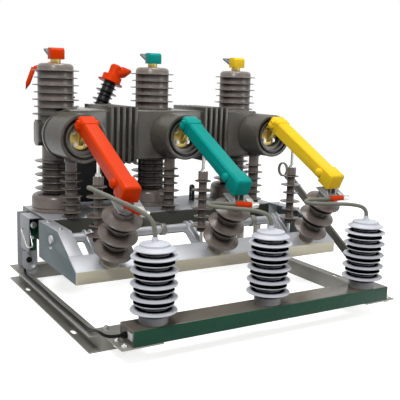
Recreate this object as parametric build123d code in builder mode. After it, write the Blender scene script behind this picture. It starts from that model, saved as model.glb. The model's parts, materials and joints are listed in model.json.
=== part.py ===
# Outdoor three-phase vacuum circuit breaker with a ganged knife disconnector,
# surge arresters on a front beam and a voltage transformer behind.
# Millimetres. X runs along the phase row, -Y is the arrester side, +Z is up.

import os
from math import atan2, cos, degrees, hypot, radians, sin, tan

from build123d import *

# Driving dimensions
phase_pitch = 340
phases = ("a", "b", "c")
overrun = 1
running_gap = 0.3

# Base frame of channel rails
base_width = 940
base_front = 616
base_back = 87
rail_height = 46
rail_flange = 34
rail_wall = 4
anchor_slot_width = 14
anchor_slot_length = 34
anchor_spacing = 406

# Front beam with its surge arresters
beam_length = 820
beam_depth = 77
beam_height = 40
beam_front = 740
beam_wall = 3
beam_plate_thick = 4
beam_plate_width = 110
beam_plate_reach = 30
arrester_base_radius = 36
arrester_base_height = 22
arrester_core_radius = 35
arrester_shed_radius = 58
arrester_small_shed_radius = 50
arrester_sheds = 10
arrester_pitch = 16.4
arrester_shed_thick = 9
arrester_shed_droop = 5
arrester_crown = 11
arrester_cap_radius = 31
arrester_cap_height = 5
arrester_stud_radius = 7
arrester_stud_height = 8

# Mechanism housing and its supports
housing_margin = 2
housing_front = 150
housing_back = 104
housing_bottom = 160
housing_top = 240
housing_edge = 6
support_thick = 5
support_front = 49
support_rear = 60
support_round = 12

# Pole column, box, boss and posts
pole_core_radius = 56
pole_top = 706
pole_shoulder = 10
pole_shed_radius = 73
pole_small_shed_radius = 68
pole_shed_thick = 4
pole_first_shed_drop = 19
pole_shed_sink = 17.6
pole_sheds = 7
box_half_width = 124
box_front = 138
box_back = 60
box_bottom = 412
box_height = 157
box_round = 7
boss_radius = 71
boss_front = 244
boss_back = 92
boss_collar = 4
boss_collar_length = 9
boss_neck_radius = 58
boss_bore_depth = 36
boss_groove_outer = 62
boss_groove_inner = 54
boss_groove_depth = 9
boss_step_radius = 48
boss_step_depth = 12
boss_bore_radius = 38
stub_reach = 64
stub_depth = 52
stub_height = 80
stub_chamfer = 13
fin_count = 5
fin_pitch = 20.6
fin_thick = 9
fin_stand = 11
post_core_radius = 44
post_shed_radius = 67
post_small_shed_radius = 60
post_sheds = 5
post_first_shed_drop = 8
post_shed_pitch = 22
dome_radius = 78
dome_height = 56
dome_round = 20
slim_setback = 138
slim_core_radius = 17.5
slim_shed_radius = 34
slim_small_shed_radius = 29
slim_sheds = 6
slim_pitch = 24
slim_collar_radius = 22
slim_collar_height = 14
slim_pad_height = 26

# Top terminals and their covers
stud_radius = 16
stud_height = 22
stud_bolt_radius = 8
terminal_width = 36
terminal_thick = 6
terminal_root = 34
terminal_reach = 62
terminal_rise = 20
terminal_hole_radius = 6.5
terminal_hole_setback = 14
hood_width = 43
hood_depth = 36
hood_height = 35
hood_wall = 2.5
hood_slope = 7
hood_lift = 13
hood_forward = 6

# Knife disconnector
pivot_front = 271
pivot_height = 536
blade_stand = 49
blade_setback = 44
blade_bar_thick = 6
blade_bar_height = 26
blade_sag = 9
pivot_disc_radius = 10
spacer_radius = 9
blade_gap = 14
blade_tip = 50
pivot_pin_radius = 6
hinge_eye_radius = 9.5
rod_pin_reach = 97.1
rod_pin_sag = 10
rod_pin_radius = 5
rod_eye_radius = 11
rod_eye_thick = 12
cover_width = 46
cover_wall = 3.5
cover_rise = 14
cover_drop = 26
cover_head = 24
cover_edge = 5
cover_step = 2
cover_back = 15
block_drop = 32
block_rise = 18
block_edge = 6
block_nose = 4
block_step = 3
block_lead = 10
tip_gap = 6
cap_radius = 11
cap_stand = 8
cap_round = 4
hinge_disc_radius = 34
hinge_disc_thick = 10
hinge_neck_height = 44
pull_core_radius = 12.5
pull_cap_radius = 15
pull_cap_height = 26
pull_shed_radius = 33
pull_small_shed_radius = 25
pull_sheds = 6
pull_foot = 21.5
upper_rod_length = 86
lower_rod_length = 56
pull_rod_radius = 5
shaft_front = pivot_front
shaft_height = 209
shaft_radius = 12.5
shaft_left = 452
shaft_right = 538
crank_thick = 5
crank_hub_radius = 20
crank_arm = 28
lever_thick = 10
lever_width = 30
lever_back = 232
lever_front = 262
lever_fall = 32.5
lever_ring_radius = 22
lever_ring_wall = 5
lever_hub_radius = 22
lever_hub_length = 24

# Slanted tray and fixed contacts
tray_half_width = 446
tray_wall = 4
tray_flange = 40
tray_top = 241
tray_bend = 318
tray_front = 464
tray_lip_height = 162
tray_lip_drop = 35
tray_bottom = 130
tray_strip = 64
bearing_radius = 19
bearing_length = 14
bracket_offset = 92
bracket_width = 16
bracket_height = 26
jaw_seat_setback = 22
jaw_core_radius = 26
jaw_base_radius = 24
jaw_base_height = 16
jaw_shed_radius = 54
jaw_small_shed_radius = 40
jaw_first_shed = 60
jaw_pitch = 27.4
jaw_shed_thick = 14
jaw_shed_droop = 13
jaw_sheds = 5
jaw_height = 180
jaw_ring_radius = 28
jaw_ring_height = 4
jaw_cap_radius = 22
jaw_cap_height = 12
contact_plate_left = 30
contact_plate_right = 46
contact_plate_back = 24
contact_plate_front = 26
contact_thick = 4
contact_foot = 22
contact_cheek_gap = 28
contact_cheek_foot = 40
contact_cheek_top = 18
contact_cheek_height = 11
contact_tongue_rise = 2
contact_tongue_lead = 22
contact_tongue_width = 26
lug_left = 24
lug_right = 44
lug_back = 12
lug_front = 52
lug_thick = 3
lug_barrel_radius = 7

# Voltage transformer on its rear shelf
vt_x = -166
vt_setback = 205
vt_width = 240
vt_depth = 150
vt_height = 256
vt_bottom = 232
vt_round = 18
vt_shoulder = 14
vt_lean = 23
vt_bushing_core = 22
vt_bushing_shed = 38.5
vt_bushing_small_shed = 29.5
vt_bushing_length = 168
vt_bushing_sheds = 8
vt_bushing_pitch = 17.7
vt_bushing_top_gap = 14
vt_shed_thick = 6
vt_shed_droop = 5
vt_cap_radius = 35
vt_cap_height = 26
vt_crown_radius = 20
vt_crown_height = 42
vt_crown_round = 6
vt_cap_brim = 46
vt_cap_brim_height = 3
vt_boot_radius = 20
vt_boot_length = 68
vt_boot_straight = 40
vt_boot_tip = 6
vt_boot_height = 35
plug_radius = 8
plug_length = 80
plug_taper = 24
plug_lean = 159
vt_boot_lean = 81.5
vt_bushing_offset = 34
shelf_thick = 5
shelf_lip = 60

# Leads and control cable
lead_diameter = 11
sleeve_radius = 8.5
sleeve_length = 50
hairpin_radius = 25
hairpin_left = 90
hairpin_back = 124
sleeve_start = 4
lead_tilts = (30, 6, 0)
cable_diameter = 8
cable_gland_radius = 8
cable_gland_length = 12
cable_inset = 10

# Left end: hood, bail and lifting plate
end_frame_reach = 35
end_frame_thick = 4
end_frame_front = 75
end_frame_back = 12
end_frame_bottom = 124
spindle_radius = 10
spindle_length = 22
spindle_drop = 30
spindle_inset = 17
bail_wire = 5
bail_drop = 46
bail_forward = 14
bail_stand = 8
bail_setback = 22
bail_bend = 6
lift_offset = 170
lift_width = 24
lift_height = 57
lift_thick = 10
lift_hole_radius = 7

# Reach of the whole part from the middle pole, which sets the origin under its middle
left_reach = base_width / 2
right_reach = shaft_right + lever_hub_length / 2
front_reach = beam_front - beam_depth / 2 + arrester_shed_radius
back_reach = vt_setback + vt_depth / 2 + shelf_thick
row_x = (left_reach - right_reach) / 2
row_y = (front_reach - back_reach) / 2
pole_x = [row_x + (place - 1) * phase_pitch for place in range(len(phases))]
top_shed_share = 0.35
rim_share = 0.32
octagon_turn = 45
lead_step_shares = (1.3, 1.2, 1.5, 2)
lead_rise_shares = (0.75, 1.0, 0.85, 0.75, 0.77, 0.82, 0.88, 1.0)
cable_sag_share = 4
cable_end_shares = ((1.25, 1.5), (1.19, 0.5), (0.75, 0))
round_share = 0.45
arc_share = 0.45
heel_share = 0.3
low_eye_share = 0.32
high_eye_share = 0.74

os.makedirs("parts", exist_ok=True)


def save(block, node):
    block.part.label = node
    export_step(block.part, f"parts/{node}.step")


def slab(x0, x1, y0, y1, z0, z1, mode=Mode.ADD):
    with Locations(((x0 + x1) / 2, (y0 + y1) / 2, (z0 + z1) / 2)):
        Box(abs(x1 - x0), abs(y1 - y0), abs(z1 - z0), mode=mode)


def rod_x(x0, x1, y, z, radius, mode=Mode.ADD):
    with Locations(Location(((x0 + x1) / 2, y, z), (0, 90, 0))):
        Cylinder(radius, abs(x1 - x0), mode=mode)


def rod_y(x, y0, y1, z, radius, mode=Mode.ADD):
    with Locations(Location((x, (y0 + y1) / 2, z), (90, 0, 0))):
        Cylinder(radius, abs(y1 - y0), mode=mode)


def rod_z(x, y, z0, z1, radius, mode=Mode.ADD):
    with Locations((x, y, (z0 + z1) / 2)):
        Cylinder(radius, abs(z1 - z0), mode=mode)


def turn(points, place, lean=0):
    # Revolves an outline of (radius, height) points about an upright or forward-leaning axis.
    up = (0, -sin(radians(lean)), cos(radians(lean)))
    with BuildSketch(Plane(place, x_dir=(1, 0, 0), z_dir=(0, -up[2], up[1]))) as outline:
        with BuildLine():
            Polyline(*points, close=True)
        make_face()
    revolve(outline.sketch, axis=Axis(place, up))


def turn_sideways(points, place, lean):
    # Revolves an outline about an axis that leans along the row.
    up = (sin(radians(lean)), 0, cos(radians(lean)))
    with BuildSketch(Plane(place, x_dir=(up[2], 0, -up[0]), z_dir=(0, -1, 0))) as outline:
        with BuildLine():
            Polyline(*points, close=True)
        make_face()
    revolve(outline.sketch, axis=Axis(place, up))


def shed_line(core, large, small, first, pitch, count, thick):
    # Outline points of alternating sheds, from the lowest shed up.
    points = []
    for shed in range(count):
        tip = large if shed % 2 == 0 else small
        root = first + shed * pitch
        points += [(core, root - thick), (tip, root - thick), (tip, root - thick * top_shed_share),
                   (core, root)]
    return points


def bell_line(core, large, small, first, pitch, count, thick, droop):
    # Outline points of alternating bell-shaped sheds, from the lowest up; their rims hang by the droop.
    points = []
    for shed in range(count):
        tip = large if shed % 2 == 0 else small
        root = first + shed * pitch
        hang = droop * (tip - core) / (large - core)
        rim = root - hang
        points += [(core, root - thick), (tip, rim - thick * rim_share), (tip, rim), (core, root)]
    return points


def side_sheet(points, x0, x1, mode=Mode.ADD):
    # Extrudes a closed outline of (y, z) points from x0 to x1.
    with BuildSketch(Plane.YZ.offset(x0)) as outline:
        with BuildLine():
            Polyline(*points, close=True)
        make_face()
    extrude(outline.sketch, amount=x1 - x0, mode=mode)


def cord(points, diameter, node):
    # A tube along straight runs joined by arcs as large as the runs allow.
    corners = [Vector(*point) for point in points]
    radii = []
    for before, corner, after in zip(corners, corners[1:], corners[2:]):
        half_turn = radians((corner - before).get_angle(after - corner)) / 2
        shorter = min((corner - before).length, (after - corner).length)
        radii.append(round(arc_share * shorter * cos(half_turn) / sin(half_turn), 1))
    with BuildPart() as tube:
        with BuildLine() as path:
            FilletPolyline(*corners, radius=radii)
        route = path.wires()[0]
        with BuildSketch(Plane(route @ 0, z_dir=route % 0)):
            Circle(diameter / 2)
        sweep(path=route)
    print(node, "length", round(route.length), "arc radii", radii)
    save(tube, node)



# Base rails: channels with their webs inside and flanges outwards
web_x = base_width / 2 - rail_flange
rail_front_y = row_y - base_front
rail_back_y = row_y + base_back
for side, node in ((-1, "left_rail"), (1, "right_rail")):
    with BuildPart() as rail:
        with BuildSketch(Plane.XZ.offset(-rail_back_y)):
            with Locations((row_x + side * (web_x + rail_flange / 2), rail_height / 2)):
                Rectangle(rail_flange, rail_height)
            with Locations((row_x + side * (web_x + rail_wall + rail_flange / 2), rail_height / 2)):
                Rectangle(rail_flange, rail_height - 2 * rail_wall, mode=Mode.SUBTRACT)
        extrude(amount=base_front + base_back)
        slot_x = row_x + side * (web_x + (rail_wall + rail_flange) / 2)
        slot_mid_y = (rail_front_y + rail_back_y) / 2
        with BuildSketch(Plane.XY.offset(-overrun)):
            for end in (-1, 1):
                with Locations(Location((slot_x, slot_mid_y + end * anchor_spacing / 2), 90)):
                    SlotOverall(anchor_slot_length, anchor_slot_width)
        extrude(amount=rail_height + 2 * overrun, mode=Mode.SUBTRACT)
    save(rail, node)

# Cross rails between the side webs, webs towards the front
for y0, node in ((rail_front_y, "front_rail"), (rail_back_y - rail_flange, "rear_rail")):
    with BuildPart() as rail:
        with BuildSketch(Plane.YZ.offset(row_x - web_x)):
            with Locations((y0 + rail_flange / 2, rail_height / 2)):
                Rectangle(rail_flange, rail_height)
            with Locations((y0 + rail_wall + rail_flange / 2, rail_height / 2)):
                Rectangle(rail_flange, rail_height - 2 * rail_wall, mode=Mode.SUBTRACT)
        extrude(amount=2 * web_x)
    save(rail, node)

# Plates that carry the beam out in front of the rails
beam_x = row_x
plate_top = rail_height + beam_plate_thick
with BuildPart() as beam_plates:
    for side in (-1, 1):
        inner = beam_x + side * (beam_length / 2 + beam_plate_reach - beam_plate_width)
        outer = beam_x + side * (beam_length / 2 + beam_plate_reach)
        slab(inner, outer, row_y - beam_front, rail_front_y + rail_flange, rail_height, plate_top)
save(beam_plates, "beam_plates")

# Arrester beam: a closed-top folded box, open underneath
beam_top = plate_top + beam_height
beam_y = row_y - beam_front + beam_depth / 2
with BuildPart() as arrester_beam:
    with Locations((beam_x, beam_y, plate_top + beam_height / 2)):
        Box(beam_length, beam_depth, beam_height)
    fillet(arrester_beam.edges().filter_by(Axis.X).group_by(Axis.Z)[-1], beam_wall)
    with Locations((beam_x, beam_y, plate_top + (beam_height - beam_wall) / 2)):
        Box(beam_length - 2 * beam_wall, beam_depth - 2 * beam_wall, beam_height - beam_wall,
            mode=Mode.SUBTRACT)
save(arrester_beam, "arrester_beam")

# Surge arresters
arrester_top = arrester_base_height + arrester_pitch * arrester_sheds + arrester_crown
arrester_line = [(0, 0), (arrester_base_radius, 0), (arrester_base_radius, arrester_base_height)]
arrester_line += bell_line(arrester_core_radius, arrester_shed_radius, arrester_small_shed_radius,
                           arrester_base_height + arrester_pitch, arrester_pitch, arrester_sheds,
                           arrester_shed_thick, arrester_shed_droop)
arrester_line += [(arrester_cap_radius, arrester_top),
                  (arrester_cap_radius, arrester_top + arrester_cap_height),
                  (arrester_stud_radius, arrester_top + arrester_cap_height),
                  (arrester_stud_radius, arrester_top + arrester_cap_height + arrester_stud_height),
                  (0, arrester_top + arrester_cap_height + arrester_stud_height)]
arrester_stud_top = beam_top + arrester_top + arrester_cap_height + arrester_stud_height
with BuildPart() as arresters:
    for x in pole_x:
        turn(arrester_line, (x, beam_y, beam_top))
save(arresters, "surge_arresters")

# Mechanism housing, a margin longer than the row of domed feet
housing_half_length = phase_pitch + dome_radius + housing_margin
housing_front_y = row_y - housing_front
housing_back_y = row_y + housing_back
with BuildPart() as housing:
    slab(row_x - housing_half_length, row_x + housing_half_length, housing_front_y, housing_back_y,
         housing_bottom, housing_top)
    fillet(housing.edges().filter_by(Axis.X), housing_edge)
save(housing, "mechanism_housing")

# Bracket plates that stand each end of the housing on its side rail, rounded at the foot
frame_top = housing_top - housing_edge
support_reach = end_frame_reach - end_frame_thick
for side, node in ((-1, "left_support"), (1, "right_support")):
    near = row_x + side * housing_half_length
    with BuildPart() as support:
        for plate_y in (row_y - support_front, row_y + support_rear):
            slab(near, near + side * support_reach, plate_y, plate_y + support_thick, rail_height,
                 frame_top - end_frame_thick)
        fillet(support.edges().filter_by(Axis.Y).group_by(Axis.Z)[0], support_round)
    save(support, node)

# Pole bodies: ribbed column, box with link arms, and the front boss
box_top = box_bottom + box_height
boss_height = box_bottom + box_height / 2
pole_shed_pitch = (pole_top - pole_first_shed_drop - box_top + pole_shed_sink) / (pole_sheds - 1)
for place, phase in enumerate(phases):
    x = pole_x[place]
    left_end = x - (box_half_width if place > 0 else 0)
    right_end = x + (box_half_width if place < len(phases) - 1 else 0)
    with BuildPart() as pole:
        slab(left_end, right_end, row_y - box_front, row_y + box_back, box_bottom, box_top)
        fillet(pole.edges().filter_by(Axis.X), box_round)
        column = [(0, box_bottom), (post_core_radius, box_bottom), (post_core_radius, boss_height),
                  (pole_core_radius, boss_height)]
        low_shed = pole_top - pole_first_shed_drop - pole_shed_pitch * (pole_sheds - 1)
        column += shed_line(pole_core_radius, pole_shed_radius, pole_small_shed_radius, low_shed,
                            pole_shed_pitch, pole_sheds, pole_shed_thick)
        column += [(pole_core_radius, pole_top - pole_shoulder),
                   (pole_core_radius - pole_shoulder * top_shed_share,
                    pole_top - pole_shoulder * top_shed_share),
                   (pole_core_radius - pole_shoulder, pole_top), (0, pole_top)]
        turn(column, (x, row_y, 0))
        boss_face = row_y - boss_front
        boss_root = row_y - boss_back
        rod_y(x, boss_face, boss_root, boss_height, boss_radius)
        rod_y(x, boss_root - boss_collar_length, boss_root, boss_height, boss_radius + boss_collar)
        rod_y(x, boss_root, row_y, boss_height, boss_neck_radius)
        rod_z(x, row_y - slim_setback, box_bottom, box_bottom + slim_pad_height, slim_collar_radius)
        for end, stub in ((-1, place == 0), (1, place == len(phases) - 1)):
            if stub:
                half_deep = stub_depth / 2
                half_tall = stub_height / 2
                outline = [(row_y - half_deep + stub_chamfer, boss_height - half_tall),
                           (row_y + half_deep - stub_chamfer, boss_height - half_tall),
                           (row_y + half_deep, boss_height - half_tall + stub_chamfer),
                           (row_y + half_deep, boss_height + half_tall - stub_chamfer),
                           (row_y + half_deep - stub_chamfer, boss_height + half_tall),
                           (row_y - half_deep + stub_chamfer, boss_height + half_tall),
                           (row_y - half_deep, boss_height + half_tall - stub_chamfer),
                           (row_y - half_deep, boss_height - half_tall + stub_chamfer)]
                side_sheet(outline, x, x + end * stub_reach)
        rod_y(x, boss_face - overrun, boss_face + boss_groove_depth, boss_height, boss_groove_outer,
              mode=Mode.SUBTRACT)
        rod_y(x, boss_face, boss_face + boss_groove_depth, boss_height, boss_groove_inner)
        rod_y(x, boss_face - overrun, boss_face + boss_step_depth, boss_height, boss_step_radius,
              mode=Mode.SUBTRACT)
        rod_y(x, boss_face - overrun, boss_face + boss_bore_depth, boss_height, boss_bore_radius,
              mode=Mode.SUBTRACT)
    save(pole, f"pole_{phase}")

# Ribbed links that join the poles
link_length = phase_pitch - 2 * box_half_width
for place, node in ((0, "link_ab"), (1, "link_bc")):
    start = pole_x[place] + box_half_width
    with BuildPart() as link:
        slab(start, start + link_length, row_y - box_front, row_y + box_back, box_bottom, box_top)
        middle = start + link_length / 2
        for fin in range(fin_count):
            fin_x = middle + (fin - (fin_count - 1) / 2) * fin_pitch
            slab(fin_x - fin_thick / 2, fin_x + fin_thick / 2, row_y - box_front - fin_stand,
                 row_y + box_back + fin_stand, box_bottom - fin_stand, box_top + fin_stand)
    save(link, node)

# Lower posts with their domed feet
dome_top = housing_top + dome_height
post_line = [(0, housing_top), (dome_radius, housing_top), (dome_radius, dome_top - dome_round),
             (dome_radius - dome_round * top_shed_share, dome_top - dome_round * top_shed_share),
             (dome_radius - dome_round, dome_top), (post_core_radius, dome_top)]
post_line += shed_line(post_core_radius, post_shed_radius, post_small_shed_radius,
                       box_bottom - post_first_shed_drop - post_shed_pitch * (post_sheds - 1),
                       post_shed_pitch, post_sheds, pole_shed_thick)
post_line += [(post_core_radius, box_bottom), (0, box_bottom)]
with BuildPart() as posts:
    for x in pole_x:
        turn(post_line, (x, row_y, 0))
save(posts, "lower_posts")

# Slim posts under the bosses
slim_line = [(0, housing_top), (slim_collar_radius, housing_top),
             (slim_collar_radius, housing_top + slim_collar_height),
             (slim_core_radius, housing_top + slim_collar_height)]
slim_line += shed_line(slim_core_radius, slim_shed_radius, slim_small_shed_radius,
                       housing_top + slim_collar_height + slim_pitch * top_shed_share, slim_pitch, slim_sheds,
                       pole_shed_thick)
slim_line += [(slim_core_radius, box_bottom), (0, box_bottom)]
with BuildPart() as slim_posts:
    for x in pole_x:
        turn(slim_line, (x, row_y - slim_setback, 0))
save(slim_posts, "slim_posts")

# Top terminals: brass stud with a flat bar that rises to the back
stud_top = pole_top + stud_height
hood_bottom = pole_top + hood_lift
hood_ceiling = hood_bottom + hood_height - hood_slope
hood_y = row_y - hood_forward
bar_slope = degrees(atan2(terminal_rise, terminal_reach - terminal_root / 2))
with BuildPart() as terminals:
    for x in pole_x:
        rod_z(x, row_y, pole_top, stud_top, stud_radius)
        rod_z(x, row_y, stud_top, hood_ceiling, stud_bolt_radius)
        bar = [(row_y - terminal_root / 2, stud_top), (row_y + terminal_root / 2, stud_top),
               (row_y + terminal_reach, stud_top + terminal_rise),
               (row_y + terminal_reach - terminal_thick * sin(radians(bar_slope)),
                stud_top + terminal_rise + terminal_thick * cos(radians(bar_slope))),
               (row_y + terminal_root / 2 - terminal_thick * sin(radians(bar_slope)),
                stud_top + terminal_thick),
               (row_y - terminal_root / 2, stud_top + terminal_thick)]
        side_sheet(bar, x - terminal_width / 2, x + terminal_width / 2)
        along = Vector(0, cos(radians(bar_slope)), sin(radians(bar_slope)))
        tip = Vector(x, row_y + terminal_reach, stud_top + terminal_rise)
        hole_plane = Plane(tip - along * terminal_hole_setback, x_dir=(1, 0, 0),
                           z_dir=(0, -along.Z, along.Y))
        with BuildSketch(hole_plane):
            Circle(terminal_hole_radius)
        extrude(amount=2 * terminal_thick, both=True, mode=Mode.SUBTRACT)
save(terminals, "top_terminals")

# Coloured hoods over the terminals, open underneath and at the back
for place, phase in enumerate(phases):
    x = pole_x[place]
    outline = [(hood_y - hood_depth / 2, hood_bottom), (hood_y + hood_depth / 2, hood_bottom),
               (hood_y + hood_depth / 2, hood_bottom + hood_height),
               (hood_y - hood_depth / 2 + hood_slope, hood_bottom + hood_height),
               (hood_y - hood_depth / 2, hood_ceiling)]
    with BuildPart() as hood:
        side_sheet(outline, x - hood_width / 2, x + hood_width / 2)
        slab(x - hood_width / 2 + hood_wall, x + hood_width / 2 - hood_wall,
             hood_y - hood_depth / 2 + hood_wall,
             hood_y + hood_depth / 2 + overrun, hood_bottom - overrun, hood_ceiling, mode=Mode.SUBTRACT)
    save(hood, f"terminal_hood_{phase}")

# Lines of the slanted tray
tray_bend_y = row_y - tray_bend
tray_front_y = row_y - tray_front
slope = atan2(tray_top - tray_lip_height, tray_front - tray_bend)
lean = degrees(slope)
drop = (tray_wall * sin(slope), tray_wall * cos(slope))
strip_back_y = tray_front_y + tray_strip * cos(slope)
strip_back_z = tray_lip_height + tray_strip * sin(slope)
lip_low = tray_lip_height - tray_lip_drop
lip_back_y = tray_front_y + tray_wall
lip_under_z = tray_lip_height - drop[1] + (tray_wall - drop[0]) * tan(slope)
flange_line = [(housing_front_y, tray_top), (tray_bend_y, tray_top), (strip_back_y, strip_back_z),
               (strip_back_y + drop[0], strip_back_z - drop[1]), (tray_bend_y + drop[0],
                                                                  tray_top - tray_wall),
               (housing_front_y, tray_top - tray_wall)]
plate_line = [(housing_front_y, tray_top - tray_wall), (tray_bend_y + drop[0], tray_top - tray_wall),
              (lip_back_y, lip_under_z), (lip_back_y, lip_low), (housing_front_y, tray_bottom)]
seat_y = tray_front_y + jaw_seat_setback
seat_z = tray_lip_height + jaw_seat_setback * tan(slope)


def on_seat(forward, height):
    # A (y, z) point a distance down the slope from an insulator's axis and a height above its seat.
    return (seat_y - height * sin(slope) - forward * cos(slope),
            seat_z + height * cos(slope) - forward * sin(slope))


# Line of the closed blades, from the hinge pin to a point over the fixed contact
plate_low = jaw_height + jaw_cap_height
plate_high = plate_low + contact_thick
pivot_y = row_y - pivot_front
aim_y, aim_z = on_seat(0, plate_high + blade_stand)
blade_fall = degrees(atan2(pivot_height - aim_z, pivot_y - aim_y))
blade_length = hypot(pivot_y - aim_y, pivot_height - aim_z) - blade_setback
blade_way = (0, -cos(radians(blade_fall)), -sin(radians(blade_fall)))


def along_blade(distance, rise):
    # A (y, z) point at a distance down the blade and a rise off its line.
    fall = radians(blade_fall)
    return (pivot_y - distance * cos(fall) - rise * sin(fall),
            pivot_height - distance * sin(fall) + rise * cos(fall))


# Hinge lugs bolted into the bosses, each with a tongue for its blade
disc_y = row_y - boss_front + boss_bore_depth
with BuildPart() as hinge_lugs:
    for x in pole_x:
        rod_y(x, disc_y - hinge_disc_thick, disc_y, boss_height, hinge_disc_radius)
        tongue = [(disc_y - hinge_disc_thick, boss_height - hinge_neck_height / 2),
                  (disc_y - hinge_disc_thick, boss_height + hinge_neck_height / 2),
                  (pivot_y, pivot_height + hinge_eye_radius), (pivot_y, pivot_height - hinge_eye_radius)]
        side_sheet(tongue, x - blade_gap / 2 + running_gap, x + blade_gap / 2 - running_gap)
        rod_x(x - blade_gap / 2 + running_gap, x + blade_gap / 2 - running_gap, pivot_y, pivot_height,
              hinge_eye_radius)
        rod_x(x - blade_gap, x + blade_gap, pivot_y, pivot_height, pivot_pin_radius + running_gap,
              mode=Mode.SUBTRACT)
save(hinge_lugs, "hinge_lugs")

# Blades with their hoods
rod_pin_y, rod_pin_height = along_blade(rod_pin_reach, -rod_pin_sag)
crank_forward = pivot_y - rod_pin_y
crank_drop = pivot_height - rod_pin_height
bar_top = blade_bar_height / 2 - blade_sag
bar_bottom = -blade_bar_height / 2 - blade_sag
blade_outline = [along_blade(0, bar_bottom), along_blade(blade_length + blade_tip, bar_bottom),
                 along_blade(blade_length + blade_tip, bar_top), along_blade(0, bar_top)]
block_start = blade_length + block_lead
block_end = blade_length + blade_tip + tip_gap + cover_wall
heel_line = [along_blade(-cover_back - overrun, 0),
             along_blade(-cover_back - overrun, -cover_drop - overrun),
             along_blade(cover_back * heel_share, -cover_drop - overrun)]


def cover_run(x, start, end, half, top, bottom, edge, mode=Mode.ADD):
    # A length of the blade's hood with its top edges cut away, run down the blade.
    section = [(-half, bottom), (half, bottom), (half, top - edge), (half - edge, top), (edge - half, top),
               (-half, top - edge)]
    with BuildSketch(Plane((x, *along_blade(start, 0)), x_dir=(1, 0, 0), z_dir=blade_way)) as outline:
        with BuildLine():
            Polyline(*section, close=True)
        make_face()
    extrude(outline.sketch, amount=end - start, mode=mode)


for place, phase in enumerate(phases):
    x = pole_x[place]
    # Twin copper bars joined by the hinge pin, the rod pin and a spacer at the tip
    with BuildPart() as blade:
        for side in (-1, 1):
            near = x + side * blade_gap / 2
            side_sheet(blade_outline, near, near + side * blade_bar_thick)
            rod_x(near, near + side * blade_bar_thick, pivot_y, pivot_height, pivot_disc_radius)
        reach = blade_gap / 2 + blade_bar_thick
        seat = cover_width / 2 - cover_wall
        rod_x(x - seat, x + seat, pivot_y, pivot_height, pivot_pin_radius)
        rod_x(x - reach, x + reach, rod_pin_y, rod_pin_height, rod_pin_radius)
        spacer_y, spacer_z = along_blade(blade_length, -blade_sag)
        rod_x(x - seat, x + seat, spacer_y, spacer_z, spacer_radius)
    save(blade, f"blade_{phase}")

    # Moulded hood over the blade, open underneath and at the hinge, with round caps over the pins
    half = cover_width / 2
    with BuildPart() as cover:
        cover_run(x, -cover_back, cover_head, half + cover_step, cover_rise + cover_step, -cover_drop,
                  cover_edge)
        cover_run(x, 0, block_start, half, cover_rise, -cover_drop, cover_edge)
        cover_run(x, block_start, block_end, half + block_step, block_rise, -block_drop, block_edge)
        nose = cover.faces().sort_by(Axis((x, pivot_y, pivot_height), blade_way))[-1]
        chamfer(nose.edges(), block_nose)
        for distance, rise in ((0, 0), (blade_length, -blade_sag)):
            cap_y, cap_z = along_blade(distance, rise)
            for side in (-1, 1):
                rod_x(x + side * half, x + side * (half + cover_step + cap_stand), cap_y, cap_z, cap_radius)
        rims = cover.edges().filter_by(GeomType.CIRCLE).group_by(Axis.X)
        fillet(rims[0] + rims[-1], cap_round)
        cover_run(x, -cover_back - overrun, block_end - cover_wall, half - cover_wall,
                  cover_rise - cover_wall,
                  -block_drop - overrun, cover_edge, mode=Mode.SUBTRACT)
        side_sheet(heel_line, x - cover_width, x + cover_width, mode=Mode.SUBTRACT)
    save(cover, f"blade_cover_{phase}")

# Pull insulators that lift the blades from the crank shaft
shaft_y = row_y - shaft_front
crank_pin_y = shaft_y - crank_forward
crank_pin_height = shaft_height - crank_drop
pull_top = rod_pin_height - upper_rod_length
pull_bottom = crank_pin_height + lower_rod_length
pull_pitch = (pull_top - pull_cap_height - pull_bottom - pull_foot) / (pull_sheds - 1)
pull_line = [(0, pull_bottom), (pull_cap_radius, pull_bottom),
             (pull_cap_radius, pull_bottom + pull_cap_height / 2),
             (pull_core_radius, pull_bottom + pull_cap_height / 2)]
pull_line += shed_line(pull_core_radius, pull_shed_radius, pull_small_shed_radius,
                       pull_top - pull_cap_height - pull_pitch * (pull_sheds - 1), pull_pitch, pull_sheds,
                       pole_shed_thick)
pull_line += [(pull_cap_radius, pull_top - pull_cap_height), (pull_cap_radius, pull_top), (0, pull_top)]
eye_half = rod_eye_thick / 2
for place, phase in enumerate(phases):
    x = pole_x[place]
    with BuildPart() as pull_insulator:
        turn(pull_line, (x, crank_pin_y, 0))
    save(pull_insulator, f"pull_insulator_{phase}")

    for low, high, eye_z, node in ((crank_pin_height, pull_bottom, crank_pin_height,
                                    f"lower_rod_end_{phase}"),
                                   (pull_top, rod_pin_height, rod_pin_height, f"upper_rod_{phase}")):
        with BuildPart() as rod_end:
            rod_z(x, crank_pin_y, low, high, pull_rod_radius)
            rod_x(x - eye_half, x + eye_half, crank_pin_y, eye_z, rod_eye_radius)
            rod_x(x - rod_eye_thick, x + rod_eye_thick, crank_pin_y, eye_z, rod_pin_radius + running_gap,
                  mode=Mode.SUBTRACT)
        save(rod_end, node)

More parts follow.
